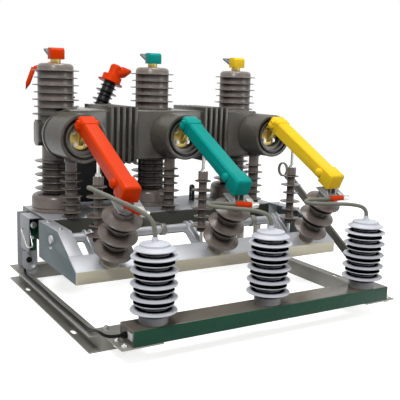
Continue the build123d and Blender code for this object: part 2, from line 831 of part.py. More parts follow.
# Crank shaft with a pair of crank plates at each pole
fork_half = eye_half + running_gap
with BuildPart() as crank_shaft:
    rod_x(row_x - shaft_left, row_x + shaft_right, shaft_y, shaft_height, shaft_radius)
    for x in pole_x:
        for side in (-1, 1):
            near = x + side * fork_half
            far = near + side * crank_thick
            rod_x(near, far, shaft_y, shaft_height, crank_hub_radius)
            rod_x(near, far, crank_pin_y, crank_pin_height, crank_arm / 2)
            tilt = atan2(crank_drop, crank_forward)
            across = (crank_arm / 2 * sin(tilt), crank_arm / 2 * cos(tilt))
            arm = [(shaft_y - across[0], shaft_height + across[1]),
                   (shaft_y + across[0], shaft_height - across[1]),
                   (crank_pin_y + across[0], crank_pin_height - across[1]),
                   (crank_pin_y - across[0], crank_pin_height + across[1])]
            side_sheet(arm, near, far)
        reach = fork_half + crank_thick
        rod_x(x - reach, x + reach, crank_pin_y, crank_pin_height, rod_pin_radius)
save(crank_shaft, "crank_shaft")

# Hook-stick lever on the right end of the shaft
lever_x = row_x + shaft_right
fall = radians(lever_fall)


def along_lever(distance, rise):
    return (shaft_y - distance * cos(fall) - rise * sin(fall),
            shaft_height - distance * sin(fall) + rise * cos(fall))


with BuildPart() as lever:
    half = lever_width / 2
    bar = [along_lever(-lever_back, -half), along_lever(lever_front, -half), along_lever(lever_front, half),
           along_lever(-lever_back, half)]
    side_sheet(bar, lever_x - lever_thick / 2, lever_x + lever_thick / 2)
    ring_y, ring_z = along_lever(-lever_back - lever_ring_radius, 0)
    rod_x(lever_x - lever_thick / 2, lever_x + lever_thick / 2, ring_y, ring_z,
          lever_ring_radius + lever_ring_wall)
    rod_x(lever_x - lever_thick, lever_x + lever_thick, ring_y, ring_z, lever_ring_radius,
          mode=Mode.SUBTRACT)
    rod_x(lever_x - lever_hub_length / 2, lever_x + lever_hub_length / 2, shaft_y, shaft_height,
          lever_hub_radius)
    rod_x(lever_x - lever_hub_length, lever_x, shaft_y, shaft_height, shaft_radius, mode=Mode.SUBTRACT)
save(lever, "operating_lever")

# Tray: side plates with folded flanges, and the slanted strip that carries the fixed contacts
for side, node in ((-1, "tray_left_side"), (1, "tray_right_side")):
    outer = row_x + side * tray_half_width
    with BuildPart() as tray_side:
        side_sheet(plate_line, outer - side * tray_wall, outer)
        side_sheet(flange_line, outer - side * tray_flange, outer)
        slab(outer - side * tray_flange, outer, housing_front_y - tray_wall, housing_front_y, tray_bottom,
             tray_top - tray_wall)
        rod_x(outer - side * bearing_length, outer, shaft_y, shaft_height, bearing_radius)
        rod_x(outer - side * (bearing_length + overrun), outer + side * overrun, shaft_y, shaft_height,
              shaft_radius + running_gap, mode=Mode.SUBTRACT)
    save(tray_side, node)

strip_line = [(strip_back_y, strip_back_z), (tray_front_y, tray_lip_height), (tray_front_y, lip_low),
              (lip_back_y, lip_low), (lip_back_y, lip_under_z), (strip_back_y + drop[0],
                                                                 strip_back_z - drop[1])]
with BuildPart() as tray_strip_sheet:
    side_sheet(strip_line, row_x - tray_half_width, row_x + tray_half_width)
save(tray_strip_sheet, "tray_front_strip")

# Fixed-contact insulators, square to the slanted strip
jaw_line = [(0, 0), (jaw_ring_radius, 0), (jaw_ring_radius, jaw_ring_height),
            (jaw_base_radius, jaw_ring_height),
            (jaw_base_radius, jaw_base_height), (jaw_core_radius, jaw_base_height)]
jaw_line += bell_line(jaw_core_radius, jaw_shed_radius, jaw_small_shed_radius, jaw_first_shed, jaw_pitch,
                      jaw_sheds,
                      jaw_shed_thick, jaw_shed_droop)
jaw_line += [(jaw_core_radius, jaw_height), (0, jaw_height)]
with BuildPart() as jaw_insulators:
    for x in pole_x:
        turn(jaw_line, (x, seat_y, seat_z), lean)
save(jaw_insulators, "contact_insulators")


# Fixed contacts: a cap and plate with two cheeks, and a tongue that goes between the blade's bars
cap_y, cap_z = on_seat(0, jaw_height)
tongue_start = blade_length + contact_tongue_lead
tongue_end = tongue_start + contact_tongue_width
cap_line = [(0, 0), (jaw_cap_radius, 0), (jaw_cap_radius, jaw_cap_height), (0, jaw_cap_height)]
contact_base = [on_seat(-contact_plate_back, plate_low), on_seat(contact_plate_front, plate_low),
                on_seat(contact_plate_front, plate_high), on_seat(-contact_plate_back, plate_high)]
contact_cheek = [on_seat(-contact_cheek_foot / 2, plate_high), on_seat(contact_cheek_foot / 2, plate_high),
                 on_seat(contact_cheek_top / 2, plate_high + contact_cheek_height),
                 on_seat(-contact_cheek_top / 2, plate_high + contact_cheek_height)]
contact_tongue = [on_seat(-contact_foot / 2, plate_high), on_seat(contact_foot / 2, plate_high),
                  along_blade(tongue_end, bar_bottom), along_blade(tongue_end,
                                                                   contact_tongue_rise - blade_sag),
                  along_blade(tongue_start, contact_tongue_rise - blade_sag), along_blade(tongue_start,
                                                                                          bar_bottom)]
with BuildPart() as fixed_contacts:
    for x in pole_x:
        turn(cap_line, (x, cap_y, cap_z), lean)
        side_sheet(contact_base, x - contact_plate_left, x + contact_plate_right)
        for side in (-1, 1):
            near = x + side * contact_cheek_gap / 2
            side_sheet(contact_cheek, near, near + side * contact_thick)
        side_sheet(contact_tongue, x - contact_thick / 2, x + contact_thick / 2)
save(fixed_contacts, "fixed_contacts")

# Leads from the arresters: up, over and back in a hairpin to a lug on the fixed contact
barrel_y, barrel_z = on_seat(lug_front - lug_barrel_radius, plate_high + lug_barrel_radius)
fold_turn = radians(octagon_turn) / 2
bend = hairpin_radius * tan(fold_turn)
fold_y = beam_y + hairpin_back
lead_climb = barrel_z - arrester_stud_top


def tilted_rod(x, tilt, start, end, radius, mode=Mode.ADD):
    # A rod from a lug's left edge, run to the left and up by the lead's tilt.
    way = Vector(-cos(radians(tilt)), 0, sin(radians(tilt)))
    root = Vector(x + lug_left, barrel_y, barrel_z)
    with BuildSketch(Plane(root + way * start, z_dir=way)) as outline:
        Circle(radius)
    extrude(outline.sketch, amount=end - start, mode=mode)


with BuildPart() as lead_lugs:
    for x, tilt in zip(pole_x, lead_tilts):
        strap = [on_seat(lug_back, plate_high), on_seat(lug_front, plate_high),
                 on_seat(lug_front, plate_high + lug_thick), on_seat(lug_back, plate_high + lug_thick)]
        side_sheet(strap, x + lug_left, x + lug_right)
        rod_x(x + lug_left, x + lug_right, barrel_y, barrel_z, lug_barrel_radius)
        tilted_rod(x, tilt, -sleeve_start, sleeve_start, lug_barrel_radius)
save(lead_lugs, "lead_lugs")
with BuildPart() as sleeves:
    for x, tilt in zip(pole_x, lead_tilts):
        tilted_rod(x, tilt, sleeve_start, sleeve_start + sleeve_length, sleeve_radius)
        tilted_rod(x, tilt, sleeve_start - overrun, sleeve_start + sleeve_length + overrun,
                   lead_diameter / 2,
                   mode=Mode.SUBTRACT)
save(sleeves, "lead_sleeves")
for x, tilt, phase in zip(pole_x, lead_tilts, phases):
    fold_x = x - hairpin_left
    back_x = fold_x + bend + fold_y + hairpin_radius - barrel_y
    plan = [(x, beam_y),
            (x - hairpin_radius * lead_step_shares[0], beam_y + hairpin_radius * lead_step_shares[1]),
            (fold_x + bend * lead_step_shares[2], fold_y - hairpin_radius * lead_step_shares[3]),
            (fold_x - hairpin_radius, fold_y - bend), (fold_x - hairpin_radius, fold_y + bend),
            (fold_x - bend, fold_y + hairpin_radius), (fold_x + bend, fold_y + hairpin_radius), (back_x,
                                                                                                 barrel_y)]
    route = [(x, beam_y, arrester_stud_top)]
    for (place_x, place_y), share in zip(plan, lead_rise_shares):
        lift = (x + lug_left - place_x) * tan(radians(tilt))
        route.append((place_x, place_y, arrester_stud_top + share * lead_climb + lift))
    route.append((x + lug_left - sleeve_start * cos(radians(tilt)), barrel_y,
                  barrel_z + sleeve_start * sin(radians(tilt))))
    cord(route, lead_diameter, f"arrester_lead_{phase}")

# Voltage transformer on a shelf behind the housing
vt_mid_x = row_x + vt_x
vt_y = row_y + vt_setback
vt_top = vt_bottom + vt_height
with BuildPart() as vt_shelf:
    slab(vt_mid_x - vt_width / 2, vt_mid_x + vt_width / 2, housing_back_y + shelf_thick,
         vt_y + vt_depth / 2 + shelf_thick, vt_bottom - shelf_thick, vt_bottom)
    slab(vt_mid_x - vt_width / 2, vt_mid_x + vt_width / 2, housing_back_y, housing_back_y + shelf_thick,
         vt_bottom - shelf_lip, vt_bottom)
save(vt_shelf, "transformer_shelf")
with BuildPart() as vt_body:
    slab(vt_mid_x - vt_width / 2, vt_mid_x + vt_width / 2, vt_y - vt_depth / 2, vt_y + vt_depth / 2,
         vt_bottom, vt_top)
    fillet(vt_body.edges().filter_by(Axis.Z), vt_round)
    chamfer(vt_body.edges().group_by(Axis.Z)[-1], vt_shoulder)
save(vt_body, "transformer_body")
bushing_line = [(0, -vt_bushing_core), (vt_bushing_core, -vt_bushing_core)]
bushing_line += bell_line(vt_bushing_core, vt_bushing_shed, vt_bushing_small_shed,
                          vt_bushing_length - vt_bushing_top_gap - vt_bushing_pitch * (vt_bushing_sheds - 1),
                          vt_bushing_pitch, vt_bushing_sheds, vt_shed_thick, vt_shed_droop)
bushing_line += [(vt_bushing_core, vt_bushing_length), (0, vt_bushing_length)]
bushing_root = vt_top + vt_bushing_core * sin(radians(vt_lean))
with BuildPart() as vt_bushings:
    for side in (-1, 1):
        turn_sideways(bushing_line, (vt_mid_x + side * vt_bushing_offset, vt_y, bushing_root),
                      side * vt_lean)
    slab(vt_mid_x - vt_width, vt_mid_x + vt_width, vt_y - vt_depth, vt_y + vt_depth, vt_bottom, vt_top,
         mode=Mode.SUBTRACT)
save(vt_bushings, "transformer_bushings")
crown_top = vt_cap_height + vt_crown_height
cap_line = [(0, 0), (vt_cap_brim, 0), (vt_cap_brim, vt_cap_brim_height),
            (vt_cap_radius, vt_cap_brim_height),
            (vt_cap_radius, vt_cap_height), (vt_crown_radius, vt_cap_height),
            (vt_crown_radius, crown_top - vt_crown_round), (vt_crown_radius - vt_crown_round, crown_top),
            (0, crown_top)]
boot_line = [(0, 0), (vt_boot_radius, 0), (vt_boot_radius, vt_boot_straight), (vt_boot_tip, vt_boot_length),
             (0, vt_boot_length)]
plug_line = [(0, 0), (plug_radius, 0), (plug_radius, plug_length - plug_taper), (0, plug_length)]
axis_way = (sin(radians(vt_lean)), cos(radians(vt_lean)))
boot_way = (sin(radians(vt_boot_lean)), cos(radians(vt_boot_lean)))
with BuildPart() as vt_caps:
    for side in (-1, 1):
        foot = (vt_mid_x + side * (vt_bushing_offset + vt_bushing_length * axis_way[0]), vt_y,
                bushing_root + vt_bushing_length * axis_way[1])
        turn_sideways(cap_line, foot, side * vt_lean)
        elbow = (foot[0] + side * vt_boot_height * axis_way[0], vt_y,
                 foot[2] + vt_boot_height * axis_way[1])
        turn_sideways(boot_line, elbow, side * vt_boot_lean)
        if side < 0:
            boot_end = (elbow[0] + side * vt_boot_length * boot_way[0], vt_y,
                        elbow[2] + vt_boot_length * boot_way[1])
            turn_sideways(plug_line, boot_end, side * plug_lean)
save(vt_caps, "transformer_caps")

# Left end of the housing: a folded hood over the drive spindle, open to the front
housing_end_x = row_x - housing_half_length
wall_x = housing_end_x - end_frame_reach
spindle_x = housing_end_x - spindle_inset
spindle_z = housing_top - spindle_drop
panel_y = row_y - support_front
hood_front_y = row_y - end_frame_front
with BuildPart() as end_frame:
    slab(wall_x, housing_end_x, hood_front_y, row_y + end_frame_back, frame_top - end_frame_thick,
         frame_top)
    slab(wall_x, wall_x + end_frame_thick, hood_front_y, row_y + end_frame_back, end_frame_bottom,
         frame_top)
save(end_frame, "end_frame")
with BuildPart() as spindle:
    rod_y(spindle_x, panel_y - spindle_length, panel_y, spindle_z, spindle_radius)
save(spindle, "drive_spindle")

# Lifting plate with two eyes on the housing's top, between two poles
with BuildPart() as lifting_plate:
    lift_x = row_x + lift_offset
    slab(lift_x - lift_thick / 2, lift_x + lift_thick / 2, row_y - lift_width / 2, row_y + lift_width / 2,
         housing_top, housing_top + lift_height)
    fillet(lifting_plate.edges().filter_by(Axis.X).group_by(Axis.Z)[-1], lift_width * round_share)
    for height in (lift_height * low_eye_share, lift_height * high_eye_share):
        rod_x(lift_x - lift_thick, lift_x + lift_thick, row_y, housing_top + height, lift_hole_radius,
              mode=Mode.SUBTRACT)
save(lifting_plate, "lifting_plate")

# Brackets from the housing's front that carry the crank shaft between the poles
with BuildPart() as shaft_brackets:
    for x in pole_x[1:]:
        mid = x - bracket_offset
        slab(mid - bracket_width / 2, mid + bracket_width / 2, shaft_y, housing_front_y,
             shaft_height - bracket_height / 2, shaft_height + bracket_height / 2)
        rod_x(mid - bracket_width / 2, mid + bracket_width / 2, shaft_y, shaft_height, bearing_radius)
        rod_x(mid - bracket_width, mid + bracket_width, shaft_y, shaft_height, shaft_radius + running_gap,
              mode=Mode.SUBTRACT)
save(shaft_brackets, "shaft_brackets")

# Wire bail that hooks round the hood's wall
bail_x = wall_x + end_frame_thick + bail_wire
bail_out_x = wall_x - bail_stand
bail_y = hood_front_y - bail_forward
bail_top_z = spindle_z - spindle_radius - bail_stand
bail_low_z = bail_top_z - bail_drop
with BuildPart() as bail:
    with BuildLine() as bail_path:
        FilletPolyline((bail_x, panel_y, bail_top_z), (bail_x, panel_y - bail_stand, bail_top_z),
                       (bail_x, bail_y, bail_low_z), (bail_out_x, bail_y, bail_low_z),
                       (bail_out_x, row_y - bail_setback, bail_top_z), (wall_x, row_y - bail_setback,
                                                                        bail_top_z),
                       radius=bail_bend)
    bail_wire_path = bail_path.wires()[0]
    with BuildSketch(Plane(bail_wire_path @ 0, z_dir=bail_wire_path % 0)):
        Circle(bail_wire / 2)
    sweep(path=bail_wire_path)
save(bail, "wire_bail")

# Control cable from under the end hood, along the left rail and over to the beam's end
rail_run_x = row_x - base_width / 2 + cable_inset
rail_run_z = rail_height + cable_diameter / 2 + running_gap
beam_end_x = row_x - beam_length / 2
gland_z = plate_top + beam_height / 2
outlet = (wall_x + end_frame_thick + cable_gland_radius, row_y - cable_gland_radius, end_frame_bottom)
with BuildPart() as cable_glands:
    rod_x(beam_end_x - cable_gland_length, beam_end_x, beam_y, gland_z, cable_gland_radius)
    slab(outlet[0] - cable_gland_radius, outlet[0] + cable_gland_radius, outlet[1] - cable_gland_radius,
         outlet[1] + cable_gland_radius, outlet[2], outlet[2] + cable_gland_length)
save(cable_glands, "cable_glands")
sag = cable_diameter * cable_sag_share
cable_end_x = beam_end_x - cable_gland_length
cable_route = [outlet, (outlet[0], outlet[1], outlet[2] - sag), (rail_run_x, outlet[1] - sag, rail_run_z),
               (rail_run_x, rail_front_y + sag, rail_run_z)]
for side_share, back_share in cable_end_shares:
    cable_route.append((cable_end_x - sag * side_share, beam_y + sag * back_share, gland_z))
cable_route.append((cable_end_x, beam_y, gland_z))
cord(cable_route, cable_diameter, "control_cable")
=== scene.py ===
# Outdoor vacuum circuit breaker: finishes, turned insulators and fasteners over the CAD frame
import json
from math import cos, radians, sin, tau

import bmesh
import bpy
from mathutils import Matrix, Vector


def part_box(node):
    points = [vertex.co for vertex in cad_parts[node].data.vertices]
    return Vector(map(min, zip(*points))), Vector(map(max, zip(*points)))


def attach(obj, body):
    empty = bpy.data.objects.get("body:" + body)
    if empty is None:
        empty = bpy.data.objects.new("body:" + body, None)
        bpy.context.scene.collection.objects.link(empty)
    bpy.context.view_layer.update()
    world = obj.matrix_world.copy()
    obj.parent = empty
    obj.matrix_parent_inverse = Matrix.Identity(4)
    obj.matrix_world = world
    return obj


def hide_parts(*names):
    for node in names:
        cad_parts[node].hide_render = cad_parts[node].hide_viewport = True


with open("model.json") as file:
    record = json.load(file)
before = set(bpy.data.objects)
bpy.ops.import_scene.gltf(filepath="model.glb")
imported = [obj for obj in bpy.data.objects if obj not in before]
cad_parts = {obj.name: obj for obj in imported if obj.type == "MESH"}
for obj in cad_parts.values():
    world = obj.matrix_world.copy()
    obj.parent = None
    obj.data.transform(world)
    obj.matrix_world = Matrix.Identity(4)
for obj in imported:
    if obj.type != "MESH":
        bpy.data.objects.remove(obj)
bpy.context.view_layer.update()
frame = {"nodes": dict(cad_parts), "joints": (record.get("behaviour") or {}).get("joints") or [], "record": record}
bodyOf = {node: body for body, nodes in frame["record"]["behaviour"]["bodies"].items() for node in nodes}
jointAt = {joint["name"]: Vector(joint["pos_m"]) for joint in frame["joints"]}
phases = ("a", "b", "c")
phaseColours = ("red", "teal", "yellow")
phaseX = [jointAt[f"blade_{phase}_swing"].x for phase in phases]
pitch = phaseX[1] - phaseX[0]
pivot = jointAt["blade_b_swing"]  # hinge line of the knife blades
hingeReach = 0.271  # from the poles' axes forward to the hinge line
rowX, rowY = pivot.x, pivot.y + hingeReach  # middle pole's axis
print("frame loaded:", len(frame["nodes"]), "nodes, row at", round(rowX, 4), round(rowY, 4))


def middleOf(node):
    return [(low + high) / 2 for low, high in zip(*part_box(node))]


def linear(hexCode):
    # sRGB hex to the linear colour the shader works in
    channels = [int(hexCode[i:i + 2], 16) / 255 for i in (1, 3, 5)]
    return tuple(c / 12.92 if c <= 0.04045 else ((c + 0.055) / 1.055) ** 2.4 for c in channels) + (1.0,)


def addNode(tree, kind, inputs=None, **settings):
    node = tree.nodes.new(kind)
    for name, value in settings.items():
        setattr(node, name, value)
    for key, value in (inputs or {}).items():
        if isinstance(value, bpy.types.NodeSocket):
            tree.links.new(value, node.inputs[key])
        else:
            node.inputs[key].default_value = value
    return node


def startMaterial(name, colour, roughness, metallic=0.0):
    material = bpy.data.materials.new(name)
    material.use_nodes = True
    tree = material.node_tree
    shader = tree.nodes["Principled BSDF"]
    shader.inputs["Base Color"].default_value = linear(colour)
    shader.inputs["Roughness"].default_value = roughness
    shader.inputs["Metallic"].default_value = metallic
    return material, tree, shader


def mottle(tree, shader, light, dark, grainMm, rough, bumpMm=None, share=0.05):
    # two tones and a roughness through a noise of a real grain size, and a bump whose grain is a share of it
    where = addNode(tree, "ShaderNodeTexCoord").outputs["Object"]
    grain = addNode(tree, "ShaderNodeTexNoise", {"Vector": where, "Scale": 1000 / grainMm, "Detail": 4})
    tones = addNode(tree, "ShaderNodeMix", {0: grain.outputs["Fac"], 6: linear(dark), 7: linear(light)},
                    data_type="RGBA")
    tree.links.new(tones.outputs[2], shader.inputs["Base Color"])
    spread = addNode(tree, "ShaderNodeMapRange",
                     {"Value": grain.outputs["Fac"], "To Min": rough[0], "To Max": rough[1]})
    tree.links.new(spread.outputs["Result"], shader.inputs["Roughness"])
    if bumpMm:
        fine = addNode(tree, "ShaderNodeTexNoise",
                       {"Vector": where, "Scale": 1000 / (grainMm * share), "Detail": 3})
        bump = addNode(tree, "ShaderNodeBump",
                       {"Height": fine.outputs["Fac"], "Distance": bumpMm / 1000, "Strength": 0.35})
        tree.links.new(bump.outputs["Normal"], shader.inputs["Normal"])
    return tones


# how the painted shade under sheds and fins searches, and how much gloss it takes away
paintedShade = {"lean": 0.8, "samples": 16, "gloss": 0.5}


def shade(tree, shader, tones, deep, reachMm, low, high):
    # painted shade under sheds and fins: the search for cover leans upward from the surface,
    # # and where it finds some the tone goes deep and the gloss goes, both as painted shade
    facing = addNode(tree, "ShaderNodeNewGeometry").outputs["Normal"]
    raised = addNode(tree, "ShaderNodeVectorMath", {0: facing, 1: (0, 0, paintedShade["lean"])}, operation="ADD")
    search = addNode(tree, "ShaderNodeVectorMath", {0: raised.outputs[0]}, operation="NORMALIZE").outputs[0]
    nearby = addNode(tree, "ShaderNodeAmbientOcclusion", {"Distance": reachMm / 1000, "Normal": search},
                     samples=paintedShade["samples"], only_local=True)
    clear = addNode(tree, "ShaderNodeMapRange",
                    {"Value": nearby.outputs["AO"], "From Min": low, "From Max": high}).outputs["Result"]
    mixed = addNode(tree, "ShaderNodeMix", {0: clear, 6: linear(deep), 7: tones.outputs[2]}, data_type="RGBA")
    tree.links.new(mixed.outputs[2], shader.inputs["Base Color"])
    gloss = addNode(tree, "ShaderNodeMath", {0: clear, 1: paintedShade["gloss"]}, operation="MULTIPLY")
    tree.links.new(gloss.outputs[0], shader.inputs["Specular IOR Level"])


def castResin(name, light, dark, reachMm):
    # Cast epoxy resin: dense warm grey with a satin mould skin and faint clouding
    material, tree, shader = startMaterial(name, light, 0.3)
    tones = mottle(tree, shader, light, dark, 60, (0.22, 0.32), bumpMm=0.12)
    # painted shade: the resin goes near black under each fin and shed
    shade(tree, shader, tones, "#0d0b0a", reachMm, 0.2, 0.85)
    return material


def siliconeRubber(name, light, dark):
    # Silicone rubber: pale blue-grey, soft sheen, a little dust in the moulding grain
    material, tree, shader = startMaterial(name, light, 0.45)
    tones = mottle(tree, shader, light, dark, 45, (0.4, 0.55), bumpMm=0.1)
    # painted shade: the rubber goes near black under each shed
    shade(tree, shader, tones, "#05080a", 22, 0.42, 0.58)
    return material


def galvanisedSteel():
    # Hot-dip galvanised steel: dull grey zinc with crystal spangle a centimetre or so across
    material, tree, shader = startMaterial("galvanisedSteel", "#8e8d88", 0.5, 0.45)
    where = addNode(tree, "ShaderNodeTexCoord").outputs["Object"]
    spangle = addNode(tree, "ShaderNodeTexVoronoi", {"Vector": where, "Scale": 1000 / 14}).outputs["Color"]
    stain = addNode(tree, "ShaderNodeTexNoise", {"Vector": where, "Scale": 1000 / 90, "Detail": 5})
    tone = addNode(tree, "ShaderNodeMix", {0: spangle, 6: linear("#888882"), 7: linear("#9f9f99")},
                   data_type="RGBA")
    worn = addNode(tree, "ShaderNodeMix", {0: stain.outputs["Fac"], 6: tone.outputs[2], 7: linear("#8b8780")},
                   data_type="RGBA")
    tree.links.new(worn.outputs[2], shader.inputs["Base Color"])
    spread = addNode(tree, "ShaderNodeMapRange", {"Value": spangle, "To Min": 0.38, "To Max": 0.55})
    tree.links.new(spread.outputs["Result"], shader.inputs["Roughness"])
    return material


def brightZinc(name, light, dark):
    # Electro-galvanised sheet: paler and smoother, with a faint rolled streak along the row
    material, tree, shader = startMaterial(name, light, 0.45, 0.35)
    where = addNode(tree, "ShaderNodeTexCoord").outputs["Object"]
    rolled = addNode(tree, "ShaderNodeMapping", {"Vector": where, "Scale": (6.0, 300.0, 300.0)})
    streak = addNode(tree, "ShaderNodeTexNoise",
                     {"Vector": rolled.outputs["Vector"], "Scale": 1.0, "Detail": 4}).outputs["Fac"]
    tone = addNode(tree, "ShaderNodeMix", {0: streak, 6: linear(dark), 7: linear(light)}, data_type="RGBA")
    tree.links.new(tone.outputs[2], shader.inputs["Base Color"])
    spread = addNode(tree, "ShaderNodeMapRange", {"Value": streak, "To Min": 0.38, "To Max": 0.55})
    tree.links.new(spread.outputs["Result"], shader.inputs["Roughness"])
    return material


def platedSteel():
    # Zinc-plated machined steel: bright, for bolts and rods
    material, tree, shader = startMaterial("platedSteel", "#c9c9c6", 0.3, 1.0)
    mottle(tree, shader, "#d2d2cf", "#b4b4b0", 12, (0.22, 0.38))
    return material


def enamel(name, light, dark, low=0.3, gloss=0.3):
    # Stoved enamel on steel: even colour, slight orange peel
    material, tree, shader = startMaterial(name, light, low)
    shader.inputs["Specular IOR Level"].default_value = gloss
    mottle(tree, shader, light, dark, 80, (low, low + 0.14), bumpMm=0.12, share=0.04)
    return material


def brass():
    # Machined brass: warm metal with faint turning tone
    material, tree, shader = startMaterial("machinedBrass", "#cdb668", 0.34, 0.8)
    mottle(tree, shader, "#d8c27a", "#b99f52", 18, (0.28, 0.42))
    return material


def moulded(name, light, dark, gloss=0.06):
    # Moulded polymer: saturated colour through the wall, soft gloss from the tool
    material, tree, shader = startMaterial(name, light, 0.36)
    shader.inputs["Specular IOR Level"].default_value = gloss
    mottle(tree, shader, light, dark, 70, (0.3, 0.42), bumpMm=0.08, share=0.03)
    return material


finish = {
    "poleResin": castResin("poleResin", "#5b5850", "#4a4741", 14),
    # the columns take a lighter copy of the pole resin: painted light
    "paintedLightColumnResin": castResin("paintedLightColumnResin", "#857a74", "#736964", 16),
    "shedResin": castResin("shedResin", "#7a6f68", "#685e58", 22),
    "silicone": siliconeRubber("siliconeRubber", "#d8dae1", "#c6c9d2"),
    # the arresters' foot is a darker copy of the silicone: painted shade
    "paintedShadeFoot": siliconeRubber("paintedShadeFoot", "#8d8c8f", "#7c7b7e"),
    "galvanised": galvanisedSteel(),
    "plated": platedSteel(),
    "brass": brass(),
    "zincSheet": brightZinc("zincSheet", "#c6c8cc", "#aeb0b6"),
    "warmZinc": brightZinc("warmZinc", "#d3ccb8", "#bdb6a2"),
    "contactPlate": brightZinc("contactPlate", "#a3a6a5", "#8a8d8b"),
    # green standing in for green surroundings mirrored in the metal: painted reflection, partly a green cover
    # plate
    "paintedGreenReflection": enamel("paintedGreenReflection", "#205641", "#194735", 0.2, 0.12),
    "darkEnamel": enamel("darkEnamel", "#4a4a44", "#3b3c37"),
    "leverEnamel": enamel("leverEnamel", "#7d7a73", "#6d6a63", 0.4),
    "greyEnamel": enamel("greyEnamel", "#67767a", "#5a686c", 0.45),
    "paleEnamel": enamel("paleEnamel", "#b0b3b7", "#a0a3a8", 0.4),
    "beamTop": enamel("beamTop", "#736d64", "#5b564e", 0.18),
    "red": moulded("redPolymer", "#de4006", "#d03604"),
    "teal": moulded("tealPolymer", "#0a9b93", "#088c84"),
    "yellow": moulded("yellowPolymer", "#fdd733", "#f4c928"),
    "blackResin": moulded("blackResin", "#17181a", "#101113", 0.3),
    "leadSheath": moulded("leadSheath", "#85857b", "#77776d"),
    "blackSheath": moulded("blackSheath", "#1b1b1b", "#121212"),
    "plate": moulded("barePlate", "#e4e6e6", "#dadcdc"),
}
print("finishes:", len(finish))


def place(mesh, name, body, node=None):
    # a finished mesh or curve as a piece of a body, in place of a CAD node where one is named
    mesh.name = name
    piece = bpy.data.objects.new(name, mesh)
    bpy.context.scene.collection.objects.link(piece)
    if node:
        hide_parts(node)
    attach(piece, body)
    return piece


def smooth(mesh, angle=32):
    for face in mesh.polygons:
        face.use_smooth = True
    mesh.set_sharp_from_angle(angle=radians(angle))


def dress(node, materials, edgeMm, choose=None, cut=None, nearX=None, tail="Dressed"):
    # a copy of a CAD node with its sharp edges broken, so that they catch the light; choose says which faces
    # get the second finish, cut is the height of a line where one ends, and nearX keeps what lies by that phase
    shell = bmesh.new()
    shell.from_mesh(frame["nodes"][node].data)
    bmesh.ops.remove_doubles(shell, verts=shell.verts, dist=1e-5)
    if nearX is not None:
        others = [face for face in shell.faces if abs(face.calc_center_median().x - nearX) > pitch / 2]
        bmesh.ops.delete(shell, geom=others, context="FACES")
    bmesh.ops.dissolve_limit(shell, angle_limit=radians(0.6), verts=shell.verts, edges=shell.edges)
    if edgeMm:
        corners = [edge for edge in shell.edges if edge.is_manifold and edge.calc_face_angle(0) > radians(35)]
        bmesh.ops.bevel(shell, geom=corners, offset=edgeMm / 1000, segments=2, profile=0.5, affect="EDGES",
                        clamp_overlap=True)
    if cut:
        bmesh.ops.bisect_plane(shell, geom=[*shell.verts, *shell.edges, *shell.faces], plane_co=(0, 0, cut),
                               plane_no=(0, 0, 1))
    mesh = bpy.data.meshes.new(node + tail)
    shell.to_mesh(mesh)
    shell.free()
    for material in materials:
        mesh.materials.append(material)
    if choose:
        for face in mesh.polygons:
            face.material_index = int(choose(face.center, face.normal))
    smooth(mesh)
    return place(mesh, node + tail, bodyOf[node], node)


def softLine(points):
    # (radius, height, rounding) corners to a smooth outline
    line = []
    steps = 5  # along each rounding
    for i, (radius, height, rounding) in enumerate(points):
        here = Vector((radius, height))
        if not rounding or i in (0, len(points) - 1):
            line.append(here)
            continue
        before = Vector(points[i - 1][:2]) - here
        after = Vector(points[i + 1][:2]) - here
        start = here + before.normalized() * min(rounding, before.length * 0.5)
        end = here + after.normalized() * min(rounding, after.length * 0.5)
        for step in range(steps + 1):
            t = step / steps
            line.append(start * (1 - t) ** 2 + here * 2 * t * (1 - t) + end * t ** 2)
    return line


def lathe(points, segments=72):
    # turns an outline, in mm, about Z; points on the axis close the ends
    shell = bmesh.new()
    rings = []
    for point in softLine(points):
        radius, height = point.x / 1000, point.y / 1000
        if point.x < 1e-6:
            rings.append([shell.verts.new((0, 0, height))])
            continue
        turns = [tau * k / segments for k in range(segments)]
        rings.append([shell.verts.new((radius * cos(turn), radius * sin(turn), height)) for turn in turns])
    for low, high in zip(rings, rings[1:]):
        for k in range(segments):
            n = (k + 1) % segments
            quad = [low[k % len(low)], low[n % len(low)], high[n % len(high)], high[k % len(high)]]
            corners = list(dict.fromkeys(quad))
            if len(corners) > 2:
                shell.faces.new(corners)
    bmesh.ops.remove_doubles(shell, verts=shell.verts, dist=1e-7)
    bmesh.ops.recalc_face_normals(shell, faces=shell.faces)
    mesh = bpy.data.meshes.new("turned")
    shell.to_mesh(mesh)
    shell.free()
    return mesh


